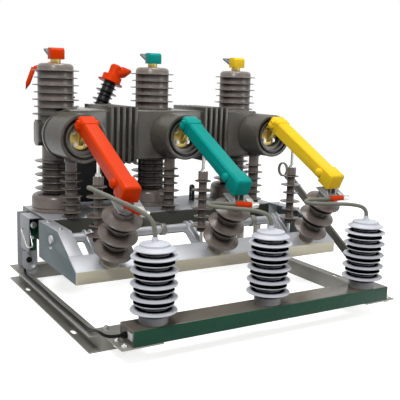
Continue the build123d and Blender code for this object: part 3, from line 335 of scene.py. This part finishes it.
def shedHoop(tree, given, tip, droop):
    # one shed: a rounded section from the root out to its tip, turned about Z
    span = addNode(tree, "ShaderNodeMath", {0: tip, 1: given["Root"]}, operation="SUBTRACT").outputs[0]
    under = addNode(tree, "ShaderNodeMath", {0: droop, 1: given["Rim"]}, operation="ADD").outputs[0]
    rimTop = addNode(tree, "ShaderNodeCombineXYZ", {"X": span, "Y": droop}).outputs[0]
    rimLow = addNode(tree, "ShaderNodeCombineXYZ", {"X": span, "Y": under}).outputs[0]
    heel = addNode(tree, "ShaderNodeCombineXYZ", {"Y": given["Heel"]}).outputs[0]
    section = addNode(tree, "GeometryNodeCurvePrimitiveQuadrilateral",
                      {"Point 1": (0, 0, 0), "Point 2": rimTop, "Point 3": rimLow, "Point 4": heel},
                      mode="POINTS")
    rounding = addNode(tree, "ShaderNodeMath", {0: given["Rim"], 1: 0.47}, operation="MULTIPLY").outputs[0]
    rounded = addNode(tree, "GeometryNodeFilletCurve",
                      {"Curve": section.outputs[0], "Count": 4, "Radius": rounding, "Limit Radius": True},
                      mode="POLY")
    hoop = addNode(tree, "GeometryNodeCurvePrimitiveCircle", {"Resolution": 72, "Radius": given["Root"]})
    upright = addNode(tree, "GeometryNodeSetCurveNormal", {"Curve": hoop.outputs[0]}, mode="Z_UP")
    return addNode(tree, "GeometryNodeCurveToMesh",
                   {"Curve": upright.outputs[0], "Profile Curve": rounded.outputs[0]}).outputs[0]


def startTree(name, kinds):
    # an empty geometry tree with named inputs, and the identifiers to set them by
    tree = bpy.data.node_groups.new(name, "GeometryNodeTree")
    tree.interface.new_socket("Geometry", in_out="OUTPUT", socket_type="NodeSocketGeometry")
    ids = {}
    for label, kind in kinds:
        socket = tree.interface.new_socket(label, in_out="INPUT", socket_type="NodeSocket" + kind)
        ids[label] = socket.identifier
    return tree, ids, addNode(tree, "NodeGroupInput").outputs


def endTree(tree, instances, material):
    real = addNode(tree, "GeometryNodeRealizeInstances", {0: instances})
    done = addNode(tree, "GeometryNodeSetMaterial", {"Geometry": real.outputs[0], "Material": material})
    addNode(tree, "NodeGroupOutput", {0: done.outputs[0]})


shedLengths = ("Pitch", "First", "Large", "Small", "Root", "Rim", "Heel", "Droop")


def shedTree():
    # a turned core gets a stack of large and small sheds by turns, and the whole is repeated along the row
    tree, ids, given = startTree("shedStack", (
        ("Core", "Geometry"), ("Count", "Int"), *((label, "Float") for label in shedLengths),
        ("Row Count", "Int"), ("Row Step", "Float"), ("Place", "Vector"), ("Lean", "Vector"),
        ("Finish", "Material")))
    smallSpan, largeSpan = (
        addNode(tree, "ShaderNodeMath", {0: given[tip], 1: given["Root"]}, operation="SUBTRACT").outputs[0]
        for tip in ("Small", "Large"))
    ratio = addNode(tree, "ShaderNodeMath", {0: smallSpan, 1: largeSpan}, operation="DIVIDE").outputs[0]
    lessDroop = addNode(tree, "ShaderNodeMath", {0: given["Droop"], 1: ratio}, operation="MULTIPLY")
    rise = addNode(tree, "ShaderNodeCombineXYZ", {"Z": given["Pitch"]}).outputs[0]
    foot = addNode(tree, "ShaderNodeCombineXYZ", {"Z": given["First"]}).outputs[0]
    heights = addNode(tree, "GeometryNodeMeshLine",
                      {"Count": given["Count"], "Start Location": foot, "Offset": rise})
    index = addNode(tree, "GeometryNodeInputIndex").outputs[0]
    odd = addNode(tree, "ShaderNodeMath", {0: index, 1: 2.0}, operation="MODULO").outputs[0]
    even = addNode(tree, "ShaderNodeMath", {0: 1.0, 1: odd}, operation="SUBTRACT").outputs[0]
    whole = addNode(tree, "GeometryNodeJoinGeometry", {0: given["Core"]})
    for turn, tip, droop in ((even, "Large", given["Droop"]), (odd, "Small", lessDroop.outputs[0])):
        stack = addNode(tree, "GeometryNodeInstanceOnPoints",
                        {"Points": heights.outputs[0], "Selection": turn,
                         "Instance": shedHoop(tree, given, given[tip], droop)})
        tree.links.new(stack.outputs[0], whole.inputs[0])
    one = addNode(tree, "GeometryNodeGeometryToInstance", {0: whole.outputs[0]})
    step = addNode(tree, "ShaderNodeCombineXYZ", {"X": given["Row Step"]}).outputs[0]
    row = addNode(tree, "GeometryNodeMeshLine",
                  {"Count": given["Row Count"], "Start Location": given["Place"], "Offset": step})
    turned = addNode(tree, "FunctionNodeEulerToRotation", {0: given["Lean"]})
    stood = addNode(tree, "GeometryNodeInstanceOnPoints",
                    {"Points": row.outputs[0], "Instance": one.outputs[0], "Rotation": turned.outputs[0]})
    endTree(tree, stood.outputs[0], given["Finish"])
    return tree, ids


# Hexagon bolt, in thread diameters
hexBolt = {
    "Washer": {"sides": 28, "low": 1.05, "high": 1.0, "depth": 0.18, "foot": 0.0},
    "Head": {"sides": 6, "low": 0.94, "high": 0.86, "depth": 0.62, "foot": 0.16},
    "Thread": {"sides": 16, "low": 0.48, "high": 0.42, "depth": 0.5, "foot": 0.6},
}


def boltTree():
    # a hexagon head on a washer with its thread's end, at each point and along its aim
    tree, ids, given = startTree("bolts", (
        ("Points", "Geometry"), *((label, "Float") for label in hexBolt), ("Finish", "Material")))
    whole = addNode(tree, "GeometryNodeJoinGeometry")
    for label, size in hexBolt.items():
        turned = addNode(tree, "GeometryNodeMeshCone",
                         {"Vertices": size["sides"], "Radius Top": size["high"], "Radius Bottom": size["low"],
                          "Depth": given[label]})
        moved = addNode(tree, "GeometryNodeTransform",
                        {"Geometry": turned.outputs[0], "Translation": (0, 0, size["foot"])})
        tree.links.new(moved.outputs[0], whole.inputs[0])
    aim = addNode(tree, "GeometryNodeInputNamedAttribute", {"Name": "aim"}, data_type="FLOAT_VECTOR")
    thread = addNode(tree, "GeometryNodeInputNamedAttribute", {"Name": "thread"}, data_type="FLOAT")
    facing = addNode(tree, "FunctionNodeAlignRotationToVector", {"Vector": aim.outputs[0]}, axis="Z")
    scale = addNode(tree, "ShaderNodeCombineXYZ", {axis: thread.outputs[0] for axis in "XYZ"}).outputs[0]
    placed = addNode(tree, "GeometryNodeInstanceOnPoints",
                     {"Points": given["Points"], "Instance": whole.outputs[0], "Rotation": facing.outputs[0],
                      "Scale": scale})
    endTree(tree, placed.outputs[0], given["Finish"])
    return tree, ids


sheds, shedInput = shedTree()
bolts, boltInput = boltTree()


def bake(mesh, tree, ids, values):
    # runs a node tree on a mesh and keeps the plain result
    carrier = bpy.data.objects.new("carrier", mesh)
    bpy.context.scene.collection.objects.link(carrier)
    modifier = carrier.modifiers.new("nodes", "NODES")
    modifier.node_group = tree
    for name, value in values.items():
        modifier[ids[name]] = value
    carrier.update_tag()
    result = bpy.data.meshes.new_from_object(carrier.evaluated_get(bpy.context.evaluated_depsgraph_get()))
    carrier.modifiers.clear()
    bpy.data.objects.remove(carrier)
    return result


def insulator(size, spot, material, lean=(0, 0, 0), row=1, step=0.0):
    # a core with its sheds, from sizes in mm
    values = {label: size[label.lower()] / 1000 for label in shedLengths}
    values.update({"Count": size["sheds"], "Row Count": row, "Row Step": step, "Place": tuple(spot),
                   "Lean": tuple(lean), "Finish": material})
    mesh = bake(lathe(size["core"]), sheds, shedInput, values)
    smooth(mesh, 40)
    return mesh


def merged(meshes, material):
    # several meshes of one finish as one
    whole = bmesh.new()
    for mesh in meshes:
        whole.from_mesh(mesh)
    result = bpy.data.meshes.new("merged")
    whole.to_mesh(result)
    whole.free()
    result.materials.append(material)
    result.polygons.foreach_set("material_index", [0] * len(result.polygons))
    smooth(result, 40)
    return result


def repaint(mesh, material, test):
    # gives a second finish to the faces whose middle passes the test
    mesh.materials.append(material)
    for face in mesh.polygons:
        if test(face.center):
            face.material_index = len(mesh.materials) - 1


onePerPhase = {"row": len(phases), "step": pitch}

# Surge arresters: moulded silicone on a turned foot, with a flat cap
arrester = {"sheds": 10, "pitch": 16.4, "first": 38.4, "large": 57.9, "small": 50, "root": 34, "rim": 2.9,
            "heel": 9, "droop": 5, "footTop": 23.5,
            "core": [(0, 0, 0), (36, 0, 1.5), (36, 22, 2), (35, 23, 1), (35, 183, 0), (47, 183, 1),
                     (38, 189, 1), (37, 190, 0.5), (37, 195, 1.5), (9, 198, 1), (7.5, 200, 1), (7, 210, 1),
                     (0, 210, 0)]}
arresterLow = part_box("surge_arresters")[0][2]
footTop = arresterLow + arrester["footTop"] / 1000
arresters = insulator(arrester, (phaseX[0], middleOf("surge_arresters")[1], arresterLow), finish["silicone"],
                      **onePerPhase)
# the foot faces take the darker copy of the silicone: painted shade
repaint(arresters, finish["paintedShadeFoot"], lambda at: at.z < footTop)
place(arresters, "surgeArresters", "frame", "surge_arresters")

# Lower posts on their domed feet
post = {"sheds": 5, "pitch": 22, "first": 76, "large": 67, "small": 60, "root": 43, "rim": 2.6, "heel": 6,
        "droop": 2.5,
        "core": [(0, 0, 0), (78, 0, 2), (78, 12, 1), (76, 13.5, 1), (78, 15, 1), (78, 56, 26), (44, 56, 4),
                 (44, 172, 0), (0, 172, 0)]}
posts = insulator(post, (phaseX[0], rowY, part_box("lower_posts")[0][2]), finish["shedResin"], **onePerPhase)
place(posts, "lowerPosts", "frame", "lower_posts")

# Slim posts under the bosses
slim = {"sheds": 6, "pitch": 24, "first": 22.4, "large": 34, "small": 29, "root": 17, "rim": 2.4, "heel": 6,
        "droop": 2.5,
        "core": [(0, 0, 0), (22, 0, 1), (22, 14, 3), (17.5, 16, 2), (17.5, 172, 0), (0, 172, 0)]}
slims = insulator(slim, (phaseX[0], middleOf("slim_posts")[1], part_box("slim_posts")[0][2]), finish["shedResin"],
                  **onePerPhase)
place(slims, "slimPosts", "frame", "slim_posts")

# Pull insulators between crank and blade
pull = {"sheds": 6, "pitch": 27.5, "first": 21.5, "large": 33, "small": 25, "root": 12, "rim": 2.4, "heel": 7,
        "droop": 2.5,
        "core": [(0, 0, 0), (15, 0, 1.5), (15, 13, 2), (12.5, 15, 2), (12.5, 158, 2), (15, 160, 2),
                 (15, 185, 2), (0, 185, 0)]}
for phase, x in zip(phases, phaseX):
    node = "pull_insulator_" + phase
    rod = insulator(pull, (x, middleOf(node)[1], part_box(node)[0][2]), finish["shedResin"])
    place(rod, "pullInsulator" + phase.upper(), "pull_" + phase, node)

# Contact insulators, square to the slanted strip; seat is from the poles' axes and up from the floor
jaw = {"sheds": 5, "pitch": 27.4, "first": 60, "large": 54, "small": 40, "root": 25, "rim": 4.5, "heel": 14,
       "droop": 13, "lean": 28.4, "seat": (-442, 173.9), "collar": 5,
       "core": [(0, 0, 0), (28, 0, 1), (28, 4, 1), (24, 4.5, 1), (24, 15, 1), (26, 17, 3), (26, 180, 2),
                (0, 180, 0)]}
lean = radians(jaw["lean"])
seat = Vector((phaseX[0], rowY + jaw["seat"][0] / 1000, jaw["seat"][1] / 1000))
jawAxis = Vector((0, -sin(lean), cos(lean)))
jaws = insulator(jaw, seat, finish["shedResin"], (lean, 0, 0), **onePerPhase)
repaint(jaws, finish["warmZinc"], lambda at: (at - seat).dot(jawAxis) < jaw["collar"] / 1000)
place(jaws, "contactInsulators", "frame", "contact_insulators")

# Transformer bushings, leaning apart, each on a moulded collar
bushing = {"sheds": 8, "pitch": 17.7, "first": 30.1, "large": 38.5, "small": 29.5, "root": 21, "rim": 2,
           "heel": 6, "droop": 5, "lean": 23, "offset": 34, "rise": 8.6,
           "core": [(0, -16, 0), (27, -16, 0), (27, 4, 3), (22, 10, 3), (22, 168, 0), (0, 168, 0)]}
bodyX, bodyY, _ = middleOf("transformer_body")
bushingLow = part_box("transformer_body")[1][2] + bushing["rise"] / 1000
pair = [insulator(bushing, (bodyX + side * bushing["offset"] / 1000, bodyY, bushingLow), finish["blackResin"],
                  (0, side * radians(bushing["lean"]), 0)) for side in (-1, 1)]
place(merged(pair, finish["blackResin"]), "transformerBushings", "frame", "transformer_bushings")
print("insulators turned")

# CAD nodes whose shape is right get their finish and broken edges
nodeFinish = {
    "left_rail": "galvanised", "right_rail": "galvanised", "front_rail": "galvanised",
    "rear_rail": "galvanised", "beam_plates": "galvanised", "right_support": "galvanised",
    "transformer_shelf": "galvanised", "hinge_lugs": "brass", "fixed_contacts": "contactPlate",
    "shaft_brackets": "galvanised", "crank_shaft": "zincSheet", "operating_lever": "leverEnamel",
    "drive_spindle": "plated", "wire_bail": "plated", "lead_lugs": "plated", "cable_glands": "blackSheath",
    "transformer_body": "blackResin", "transformer_caps": "red", "lifting_plate": "blackResin",
    "link_ab": "poleResin", "link_bc": "poleResin",
}
for phase, colour in zip(phases, phaseColours):
    nodeFinish.update({"blade_" + phase: "brass", "blade_cover_" + phase: colour,
                       "terminal_hood_" + phase: colour, "lower_rod_end_" + phase: "plated",
                       "upper_rod_" + phase: "plated"})
brokenEdge = 0.8
edgeOf = {"link_ab": 3.2, "link_bc": 3.2, "wire_bail": 0, "transformer_body": 0, "blade_cover_a": 2.4,
          "blade_cover_b": 2.4, "blade_cover_c": 2.4, "operating_lever": 2, "top_terminals": 0.6}
dressed = {node: dress(node, [finish[kind]], edgeOf.get(node, brokenEdge)) for node, kind in nodeFinish.items()}

# Pieces of two finishes: painted faces on sheet metal, a green painted reflection on the beam's front and the left
# support, columns on pole bodies in a lighter copy of the resin as painted light, brass studs under dark bars
linkStand, studHeight = 0.011, 0.0215  # of the links' fins over the pole bodies, and of the studs
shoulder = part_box("link_ab")[1][2] - linkStand
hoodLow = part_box("end_frame")[0][2]
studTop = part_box("top_terminals")[0][2] + studHeight
twoFinishes = {"pole_" + phase: ("poleResin", "paintedLightColumnResin", lambda at, n: at.z > shoulder) for phase in phases}
twoFinishes.update({
    # the beam's front faces in green: painted reflection of green surroundings, partly a green cover plate
    "arrester_beam": ("beamTop", "paintedGreenReflection", lambda at, n: n.y < -0.7),
    "mechanism_housing": ("darkEnamel", "zincSheet", lambda at, n: n.z > 0.7),
    "end_frame": ("paleEnamel", "zincSheet", lambda at, n: n.z > 0.7),
    # the left support's upper front in green: painted reflection of green surroundings
    "left_support": ("paleEnamel", "paintedGreenReflection", lambda at, n: at.z > hoodLow and at.y < rowY),
    "top_terminals": ("brass", "greyEnamel", lambda at, n: at.z > studTop),
    "tray_left_side": ("zincSheet", "greyEnamel", lambda at, n: abs(n.x) > 0.7),
    "tray_right_side": ("zincSheet", "greyEnamel", lambda at, n: abs(n.x) > 0.7),
    "tray_front_strip": ("zincSheet", "warmZinc", lambda at, n: n.y < -0.9),
})
cutAt = {"left_support": hoodLow, "top_terminals": studTop}
for node, (first, second, test) in twoFinishes.items():
    dress(node, [finish[first], finish[second]], edgeOf.get(node, brokenEdge), test, cutAt.get(node))
print("nodes dressed:", len(nodeFinish) + len(twoFinishes))

# Domed caps over the pins on both sides of each blade cover
pinCap = {"outline": [(0, -8, 0), (13.5, -8, 0), (13.5, 3, 3), (9, 9, 5), (0, 11, 0)], "out": 26,
          "along": (0, 278.8), "below": 9, "fall": 27.01}
fall = radians(pinCap["fall"])
alongBlade = Vector((0, -cos(fall), -sin(fall)))
overBlade = Vector((0, -sin(fall), cos(fall)))
for phase, x, colour in zip(phases, phaseX, phaseColours):
    domes = []
    for side in (-1, 1):
        for run in pinCap["along"]:
            middle = Vector((x + side * pinCap["out"] / 1000, pivot.y, pivot.z))
            middle += (alongBlade * run - overBlade * pinCap["below"]) / 1000
            dome = lathe(pinCap["outline"], 32)
            dome.transform(Matrix.Translation(middle) @ Matrix.Rotation(side * tau / 4, 4, "Y"))
            domes.append(dome)
    place(merged(domes, finish[colour]), "pinCaps" + phase.upper(), "blade_" + phase)


def layCord(name, node, diameterMm, material, points):
    # a cord on one smooth spline through the route's runs
    line = bpy.data.curves.new(name, "CURVE")
    line.dimensions = "3D"
    spline = line.splines.new("NURBS")
    spline.points.add(len(points) - 1)
    for knot, point in zip(spline.points, points):
        knot.co = (*point, 1)
    spline.order_u = 3
    spline.use_endpoint_u = True
    line.resolution_u, line.bevel_resolution = 16, 6
    line.bevel_depth = diameterMm / 2000
    line.use_fill_caps = True
    line.materials.append(material)
    piece = place(line, name, "frame", node)


# Arrester leads: up, over and back in a hairpin to the fixed contact; length and route in metres
leadMm = 11
leads = {
    "a": (0.393, [(-0.38, -0.4642, 0.3), (-0.38, -0.4642, 0.3371), (-0.4125, -0.4343, 0.3636),
                  (-0.4545, -0.3902, 0.3832), (-0.495, -0.3506, 0.4035), (-0.495, -0.3299, 0.4041),
                  (-0.4804, -0.3152, 0.3972), (-0.4596, -0.3152, 0.3871), (-0.434, -0.3409, 0.376),
                  (-0.3595, -0.3409, 0.333)]),
    "b": (0.352, [(-0.04, -0.4642, 0.3), (-0.04, -0.4642, 0.3258), (-0.0725, -0.4343, 0.337),
                  (-0.1145, -0.3902, 0.3367), (-0.155, -0.3506, 0.3379), (-0.155, -0.3299, 0.3385),
                  (-0.1404, -0.3152, 0.3385), (-0.1196, -0.3152, 0.3382), (-0.094, -0.3409, 0.3392),
                  (-0.02, -0.3409, 0.3314)]),
    "c": (0.349, [(0.3, -0.4642, 0.3), (0.3, -0.4642, 0.3233), (0.2675, -0.4343, 0.331),
                  (0.2255, -0.3902, 0.3264), (0.185, -0.3506, 0.3233), (0.185, -0.3299, 0.3239),
                  (0.1996, -0.3152, 0.3254), (0.2204, -0.3152, 0.3273), (0.246, -0.3409, 0.331),
                  (0.32, -0.3409, 0.331)]),
}
for x, (phase, (length, route)) in zip(phaseX, leads.items()):
    sleeve = dress("lead_sleeves", [finish["red"]], brokenEdge, nearX=x, tail=phase.upper())
    layCord("arresterLead" + phase.upper(), "arrester_lead_" + phase, leadMm, finish["leadSheath"],
            route)

# Control cable: down from the end hood, along the left rail and over to the beam's end
cable = {"diameterMm": 8, "length": 0.773,
         "route": [(-0.483, 0.2293, 0.124), (-0.483, 0.2293, 0.092), (-0.5, 0.1973, 0.0503),
                   (-0.5, 0.142, 0.0503), (-0.498, 0.03, 0.0503), (-0.5015, -0.11, 0.0503),
                   (-0.499, -0.275, 0.0503), (-0.5, -0.3468, 0.0503), (-0.502, -0.4163, 0.07),
                   (-0.5001, -0.4482, 0.07), (-0.486, -0.4642, 0.07), (-0.462, -0.4642, 0.07)]}
layCord("controlCable", "control_cable", cable["diameterMm"], finish["blackSheath"],
        cable["route"])
print("cords laid")


def boltSet(name, body, spots, material):
    # spots are (place in metres, aim, thread in mm)
    points = bpy.data.meshes.new(name + "Points")
    points.from_pydata([spot[0] for spot in spots], [], [])
    aims = points.attributes.new("aim", "FLOAT_VECTOR", "POINT")
    aims.data.foreach_set("vector", [part for spot in spots for part in spot[1]])
    threads = points.attributes.new("thread", "FLOAT", "POINT")
    threads.data.foreach_set("value", [spot[2] / 1000 for spot in spots])
    depths = {label: size["depth"] for label, size in hexBolt.items()}
    mesh = bake(points, bolts, boltInput, {**depths, "Finish": material})
    smooth(mesh, 30)
    place(mesh, name, body)


def fromRow(x, y, z):
    # a point in mm from the middle pole's axis on the floor
    return (rowX + x / 1000, rowY + y / 1000, z / 1000)


def flatPlate(name, outline, origin, right, upward, thickMm, material):
    # a thin plate with broken edges: outline in mm along right and upward, thickness along their cross product
    right, upward = Vector(right), Vector(upward)
    thick = right.cross(upward) * thickMm / 1000
    shell = bmesh.new()
    rim = [shell.verts.new(Vector(origin) + (right * u + upward * v) / 1000) for u, v in outline]
    far = [shell.verts.new(vert.co + thick) for vert in rim]
    shell.faces.new(far)
    shell.faces.new(rim[::-1])
    for i in range(len(rim)):
        j = (i + 1) % len(rim)
        shell.faces.new((rim[i], rim[j], far[j], far[i]))
    bmesh.ops.recalc_face_normals(shell, faces=shell.faces)
    sharp = [edge for edge in shell.edges if edge.calc_face_angle(0) > radians(60)]
    bmesh.ops.bevel(shell, geom=sharp, offset=thickMm / 5000, segments=2, profile=0.5, affect="EDGES")
    mesh = bpy.data.meshes.new(name)
    shell.to_mesh(mesh)
    shell.free()
    mesh.materials.append(material)
    smooth(mesh)
    place(mesh, name, "frame")


# Round-ended plate below the left hood; left and back are from the middle pole's axis
lobe = {"left": -467, "back": -49.1, "width": 47, "top": 124, "centre": 85, "thick": 3}
half = lobe["width"] / 2
curve = [(half + half * cos(tau * k / 48), lobe["centre"] - half * sin(tau * k / 48)) for k in range(25)]
flatPlate("roundEndPlate", [*curve, (0, lobe["top"]), (lobe["width"], lobe["top"])],
          fromRow(lobe["left"], lobe["back"], 0), (1, 0, 0), (0, 0, 1), lobe["thick"], finish["paleEnamel"])

# Bare plate on the beam's end, measured from the beam's lower front corner
tag = {"wide": 26, "high": 18, "back": 33, "up": 13, "thick": 0.6}
endX, frontY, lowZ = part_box("arrester_beam")[0]
flatPlate("barePlate", [(0, 0), (tag["wide"], 0), (tag["wide"], tag["high"]), (0, tag["high"])],
          (endX, frontY + tag["back"] / 1000, lowZ + tag["up"] / 1000), (0, -1, 0), (0, 0, 1), tag["thick"],
          finish["plate"])

# Bolts of the frame: thread, the way the head points, and places in mm from the middle pole's axis
up, down, front, outward = (0, 0, 1), (0, 0, -1), (0, -1, 0), (1, 0, 0)
boltsBothEnds = {
    "beamHeads": (8, up, [(425, -722, 50), (425, -682, 50)]),
    "beamNuts": (11, down, [(425, -722, 46), (425, -682, 46)]),
    "railHeads": (8, up, [(352, -598, 50), (418, -598, 50)]),
    "trayPins": (5, outward, [(446, -266, 184)]),
    "trayTops": (6, up, [(428, -186, 241), (428, -296, 241)]),
    "supportFronts": (6, front, [(436, -49, 166)]),
}
lobeFace = lobe["back"] - lobe["thick"]
lug = {"face": -218, "centre": 490.5, "across": 19, "rise": 17}  # four bolts round each hinge lug
lugCorners = [(i * lug["across"], lug["centre"] + j * lug["rise"]) for j in (-1, 1) for i in (-1, 1)]
boltsOnce = {
    "hingeLugs": (7, front, [(1000 * (x - rowX) + out, lug["face"], z)
                             for x in phaseX for out, z in lugCorners]),
    "lobeBolt": (6, front, [(-434, lobeFace, 74)]),
    "rightLarge": (8, front, [(436, -49, 100)]),
    "rightSmall": (6, front, [(436, -49, 72)]),
}
spots = [(fromRow(side * x, y, z), (side * aim[0], *aim[1:]), thread) for side in (-1, 1)
         for thread, aim, places in boltsBothEnds.values() for x, y, z in places]
spots += [(fromRow(*at), aim, thread) for thread, aim, places in boltsOnce.values() for at in places]
boltSet("frameBolts", "frame", spots, finish["plated"])

# Grommet of the round-ended plate, and the nuts on the pull insulators
grommet = {"thread": 9, "at": (-447, lobeFace, 96)}
pullNut = {"thread": 10}
boltSet("cableGrommet", "frame", [(fromRow(*grommet["at"]), front, grommet["thread"])], finish["blackSheath"])
for phase, x in zip(phases, phaseX):
    node = "pull_insulator_" + phase
    top = (x, middleOf(node)[1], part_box(node)[1][2])
    boltSet("pullNuts" + phase.upper(), "pull_" + phase, [(top, up, pullNut["thread"])], finish["plated"])
print("bolts set:", len(spots) + len(phases))

# Camera at the photograph's angle, for a 400 by 400 frame
view = {"from": (-1.0473, -2.0648, 0.6593), "yaw": 31.08, "pitch": 9.95, "roll": 1.84, "lens": 60.1,
        "sensor": 36, "shift": (0.005, 0.001)}
yaw, dip, roll = (radians(view[turn]) for turn in ("yaw", "pitch", "roll"))
ahead = Vector((sin(yaw) * cos(dip), cos(yaw) * cos(dip), -sin(dip)))
level = Vector((cos(yaw), -sin(yaw), 0))
upward = level.cross(ahead)
across = level * cos(roll) + upward * sin(roll)
above = upward * cos(roll) - level * sin(roll)
lens = bpy.data.cameras.new("camera")
lens.lens, lens.sensor_width = view["lens"], view["sensor"]
lens.shift_x, lens.shift_y = view["shift"]
camera = bpy.data.objects.new("camera", lens)
camera.matrix_world = Matrix((across, above, -ahead)).transposed().to_4x4()
camera.location = Vector(view["from"]) + Vector((rowX, rowY, 0))
bpy.context.scene.collection.objects.link(camera)
bpy.context.scene.camera = camera


def straightRay(tree):
    # 1 for rays that are seen, reflected or let through, 0 for those that only light the part
    rays = addNode(tree, "ShaderNodeLightPath").outputs
    bounced = addNode(tree, "ShaderNodeMath", {0: rays["Is Glossy Ray"], 1: rays["Is Transmission Ray"]},
                      operation="MAXIMUM").outputs[0]
    return addNode(tree, "ShaderNodeMath", {0: rays["Is Camera Ray"], 1: bounced},
                   operation="MAXIMUM").outputs[0]


# Pale floor that keeps the shadow, soft studio lamps and a white surround
studio = {"reach": 14.0, "floor": "#f2f2f0", "floorBounce": "#8c8c8a", "floorLift": 0.74, "white": "#ffffff",
          "air": 0.22, "surround": 1.0, "aim": (0, -0.25, 0.3)}
reach = studio["reach"]
floorMesh = bpy.data.meshes.new("floor")
floorMesh.from_pydata([(-reach, -reach, 0), (reach, -reach, 0), (reach, reach, 0), (-reach, reach, 0)], [],
                      [(0, 1, 2, 3)])
floor = bpy.data.objects.new("floor", floorMesh)
bpy.context.scene.collection.objects.link(floor)
floorMaterial, floorTree, floorShader = startMaterial("paleFloor", studio["floor"], 0.8)
seen = straightRay(floorTree)
tone = addNode(floorTree, "ShaderNodeMix",
               {0: seen, 6: linear(studio["floorBounce"]), 7: linear(studio["floor"])}, data_type="RGBA")
floorTree.links.new(tone.outputs[2], floorShader.inputs["Base Color"])
lift = addNode(floorTree, "ShaderNodeMath", {0: seen, 1: studio["floorLift"]}, operation="MULTIPLY").outputs[0]
glow = addNode(floorTree, "ShaderNodeEmission", {"Color": linear(studio["white"]), "Strength": lift})
pale = addNode(floorTree, "ShaderNodeAddShader", {0: floorShader.outputs[0], 1: glow.outputs[0]})
floorTree.links.new(pale.outputs[0], floorTree.nodes["Material Output"].inputs["Surface"])
floorMesh.materials.append(floorMaterial)

world = bpy.data.worlds.new("studio")
bpy.context.scene.world = world
world.use_nodes = True
air = world.node_tree
strength = addNode(air, "ShaderNodeMix", {0: straightRay(air), 2: studio["air"], 3: studio["surround"]},
                   data_type="FLOAT").outputs[0]
air.links.new(strength, air.nodes["Background"].inputs["Strength"])
air.nodes["Background"].inputs["Color"].default_value = linear(studio["white"])

# Lamps: place from the middle pole's axis, width and watts
lamps = {"key": ((-1.5, -1.7, 2.3), 0.7, 41), "top": ((0.2, -0.1, 2.9), 1.4, 41),
         "fill": ((2.0, -2.3, 1.0), 1.2, 17)}
aimX, aimY, aimZ = studio["aim"]
for name, (spot, width, watts) in lamps.items():
    light = bpy.data.lights.new(name, "AREA")
    light.size, light.energy = width, watts
    lamp = bpy.data.objects.new(name, light)
    lamp.location = Vector(spot) + Vector((rowX, rowY, 0))
    sight = Vector((rowX + aimX, rowY + aimY, aimZ)) - lamp.location
    lamp.rotation_euler = sight.to_track_quat("-Z", "Y").to_euler()
    bpy.context.scene.collection.objects.link(lamp)
bpy.context.scene.view_settings.view_transform = "Standard"
print("camera and light set")
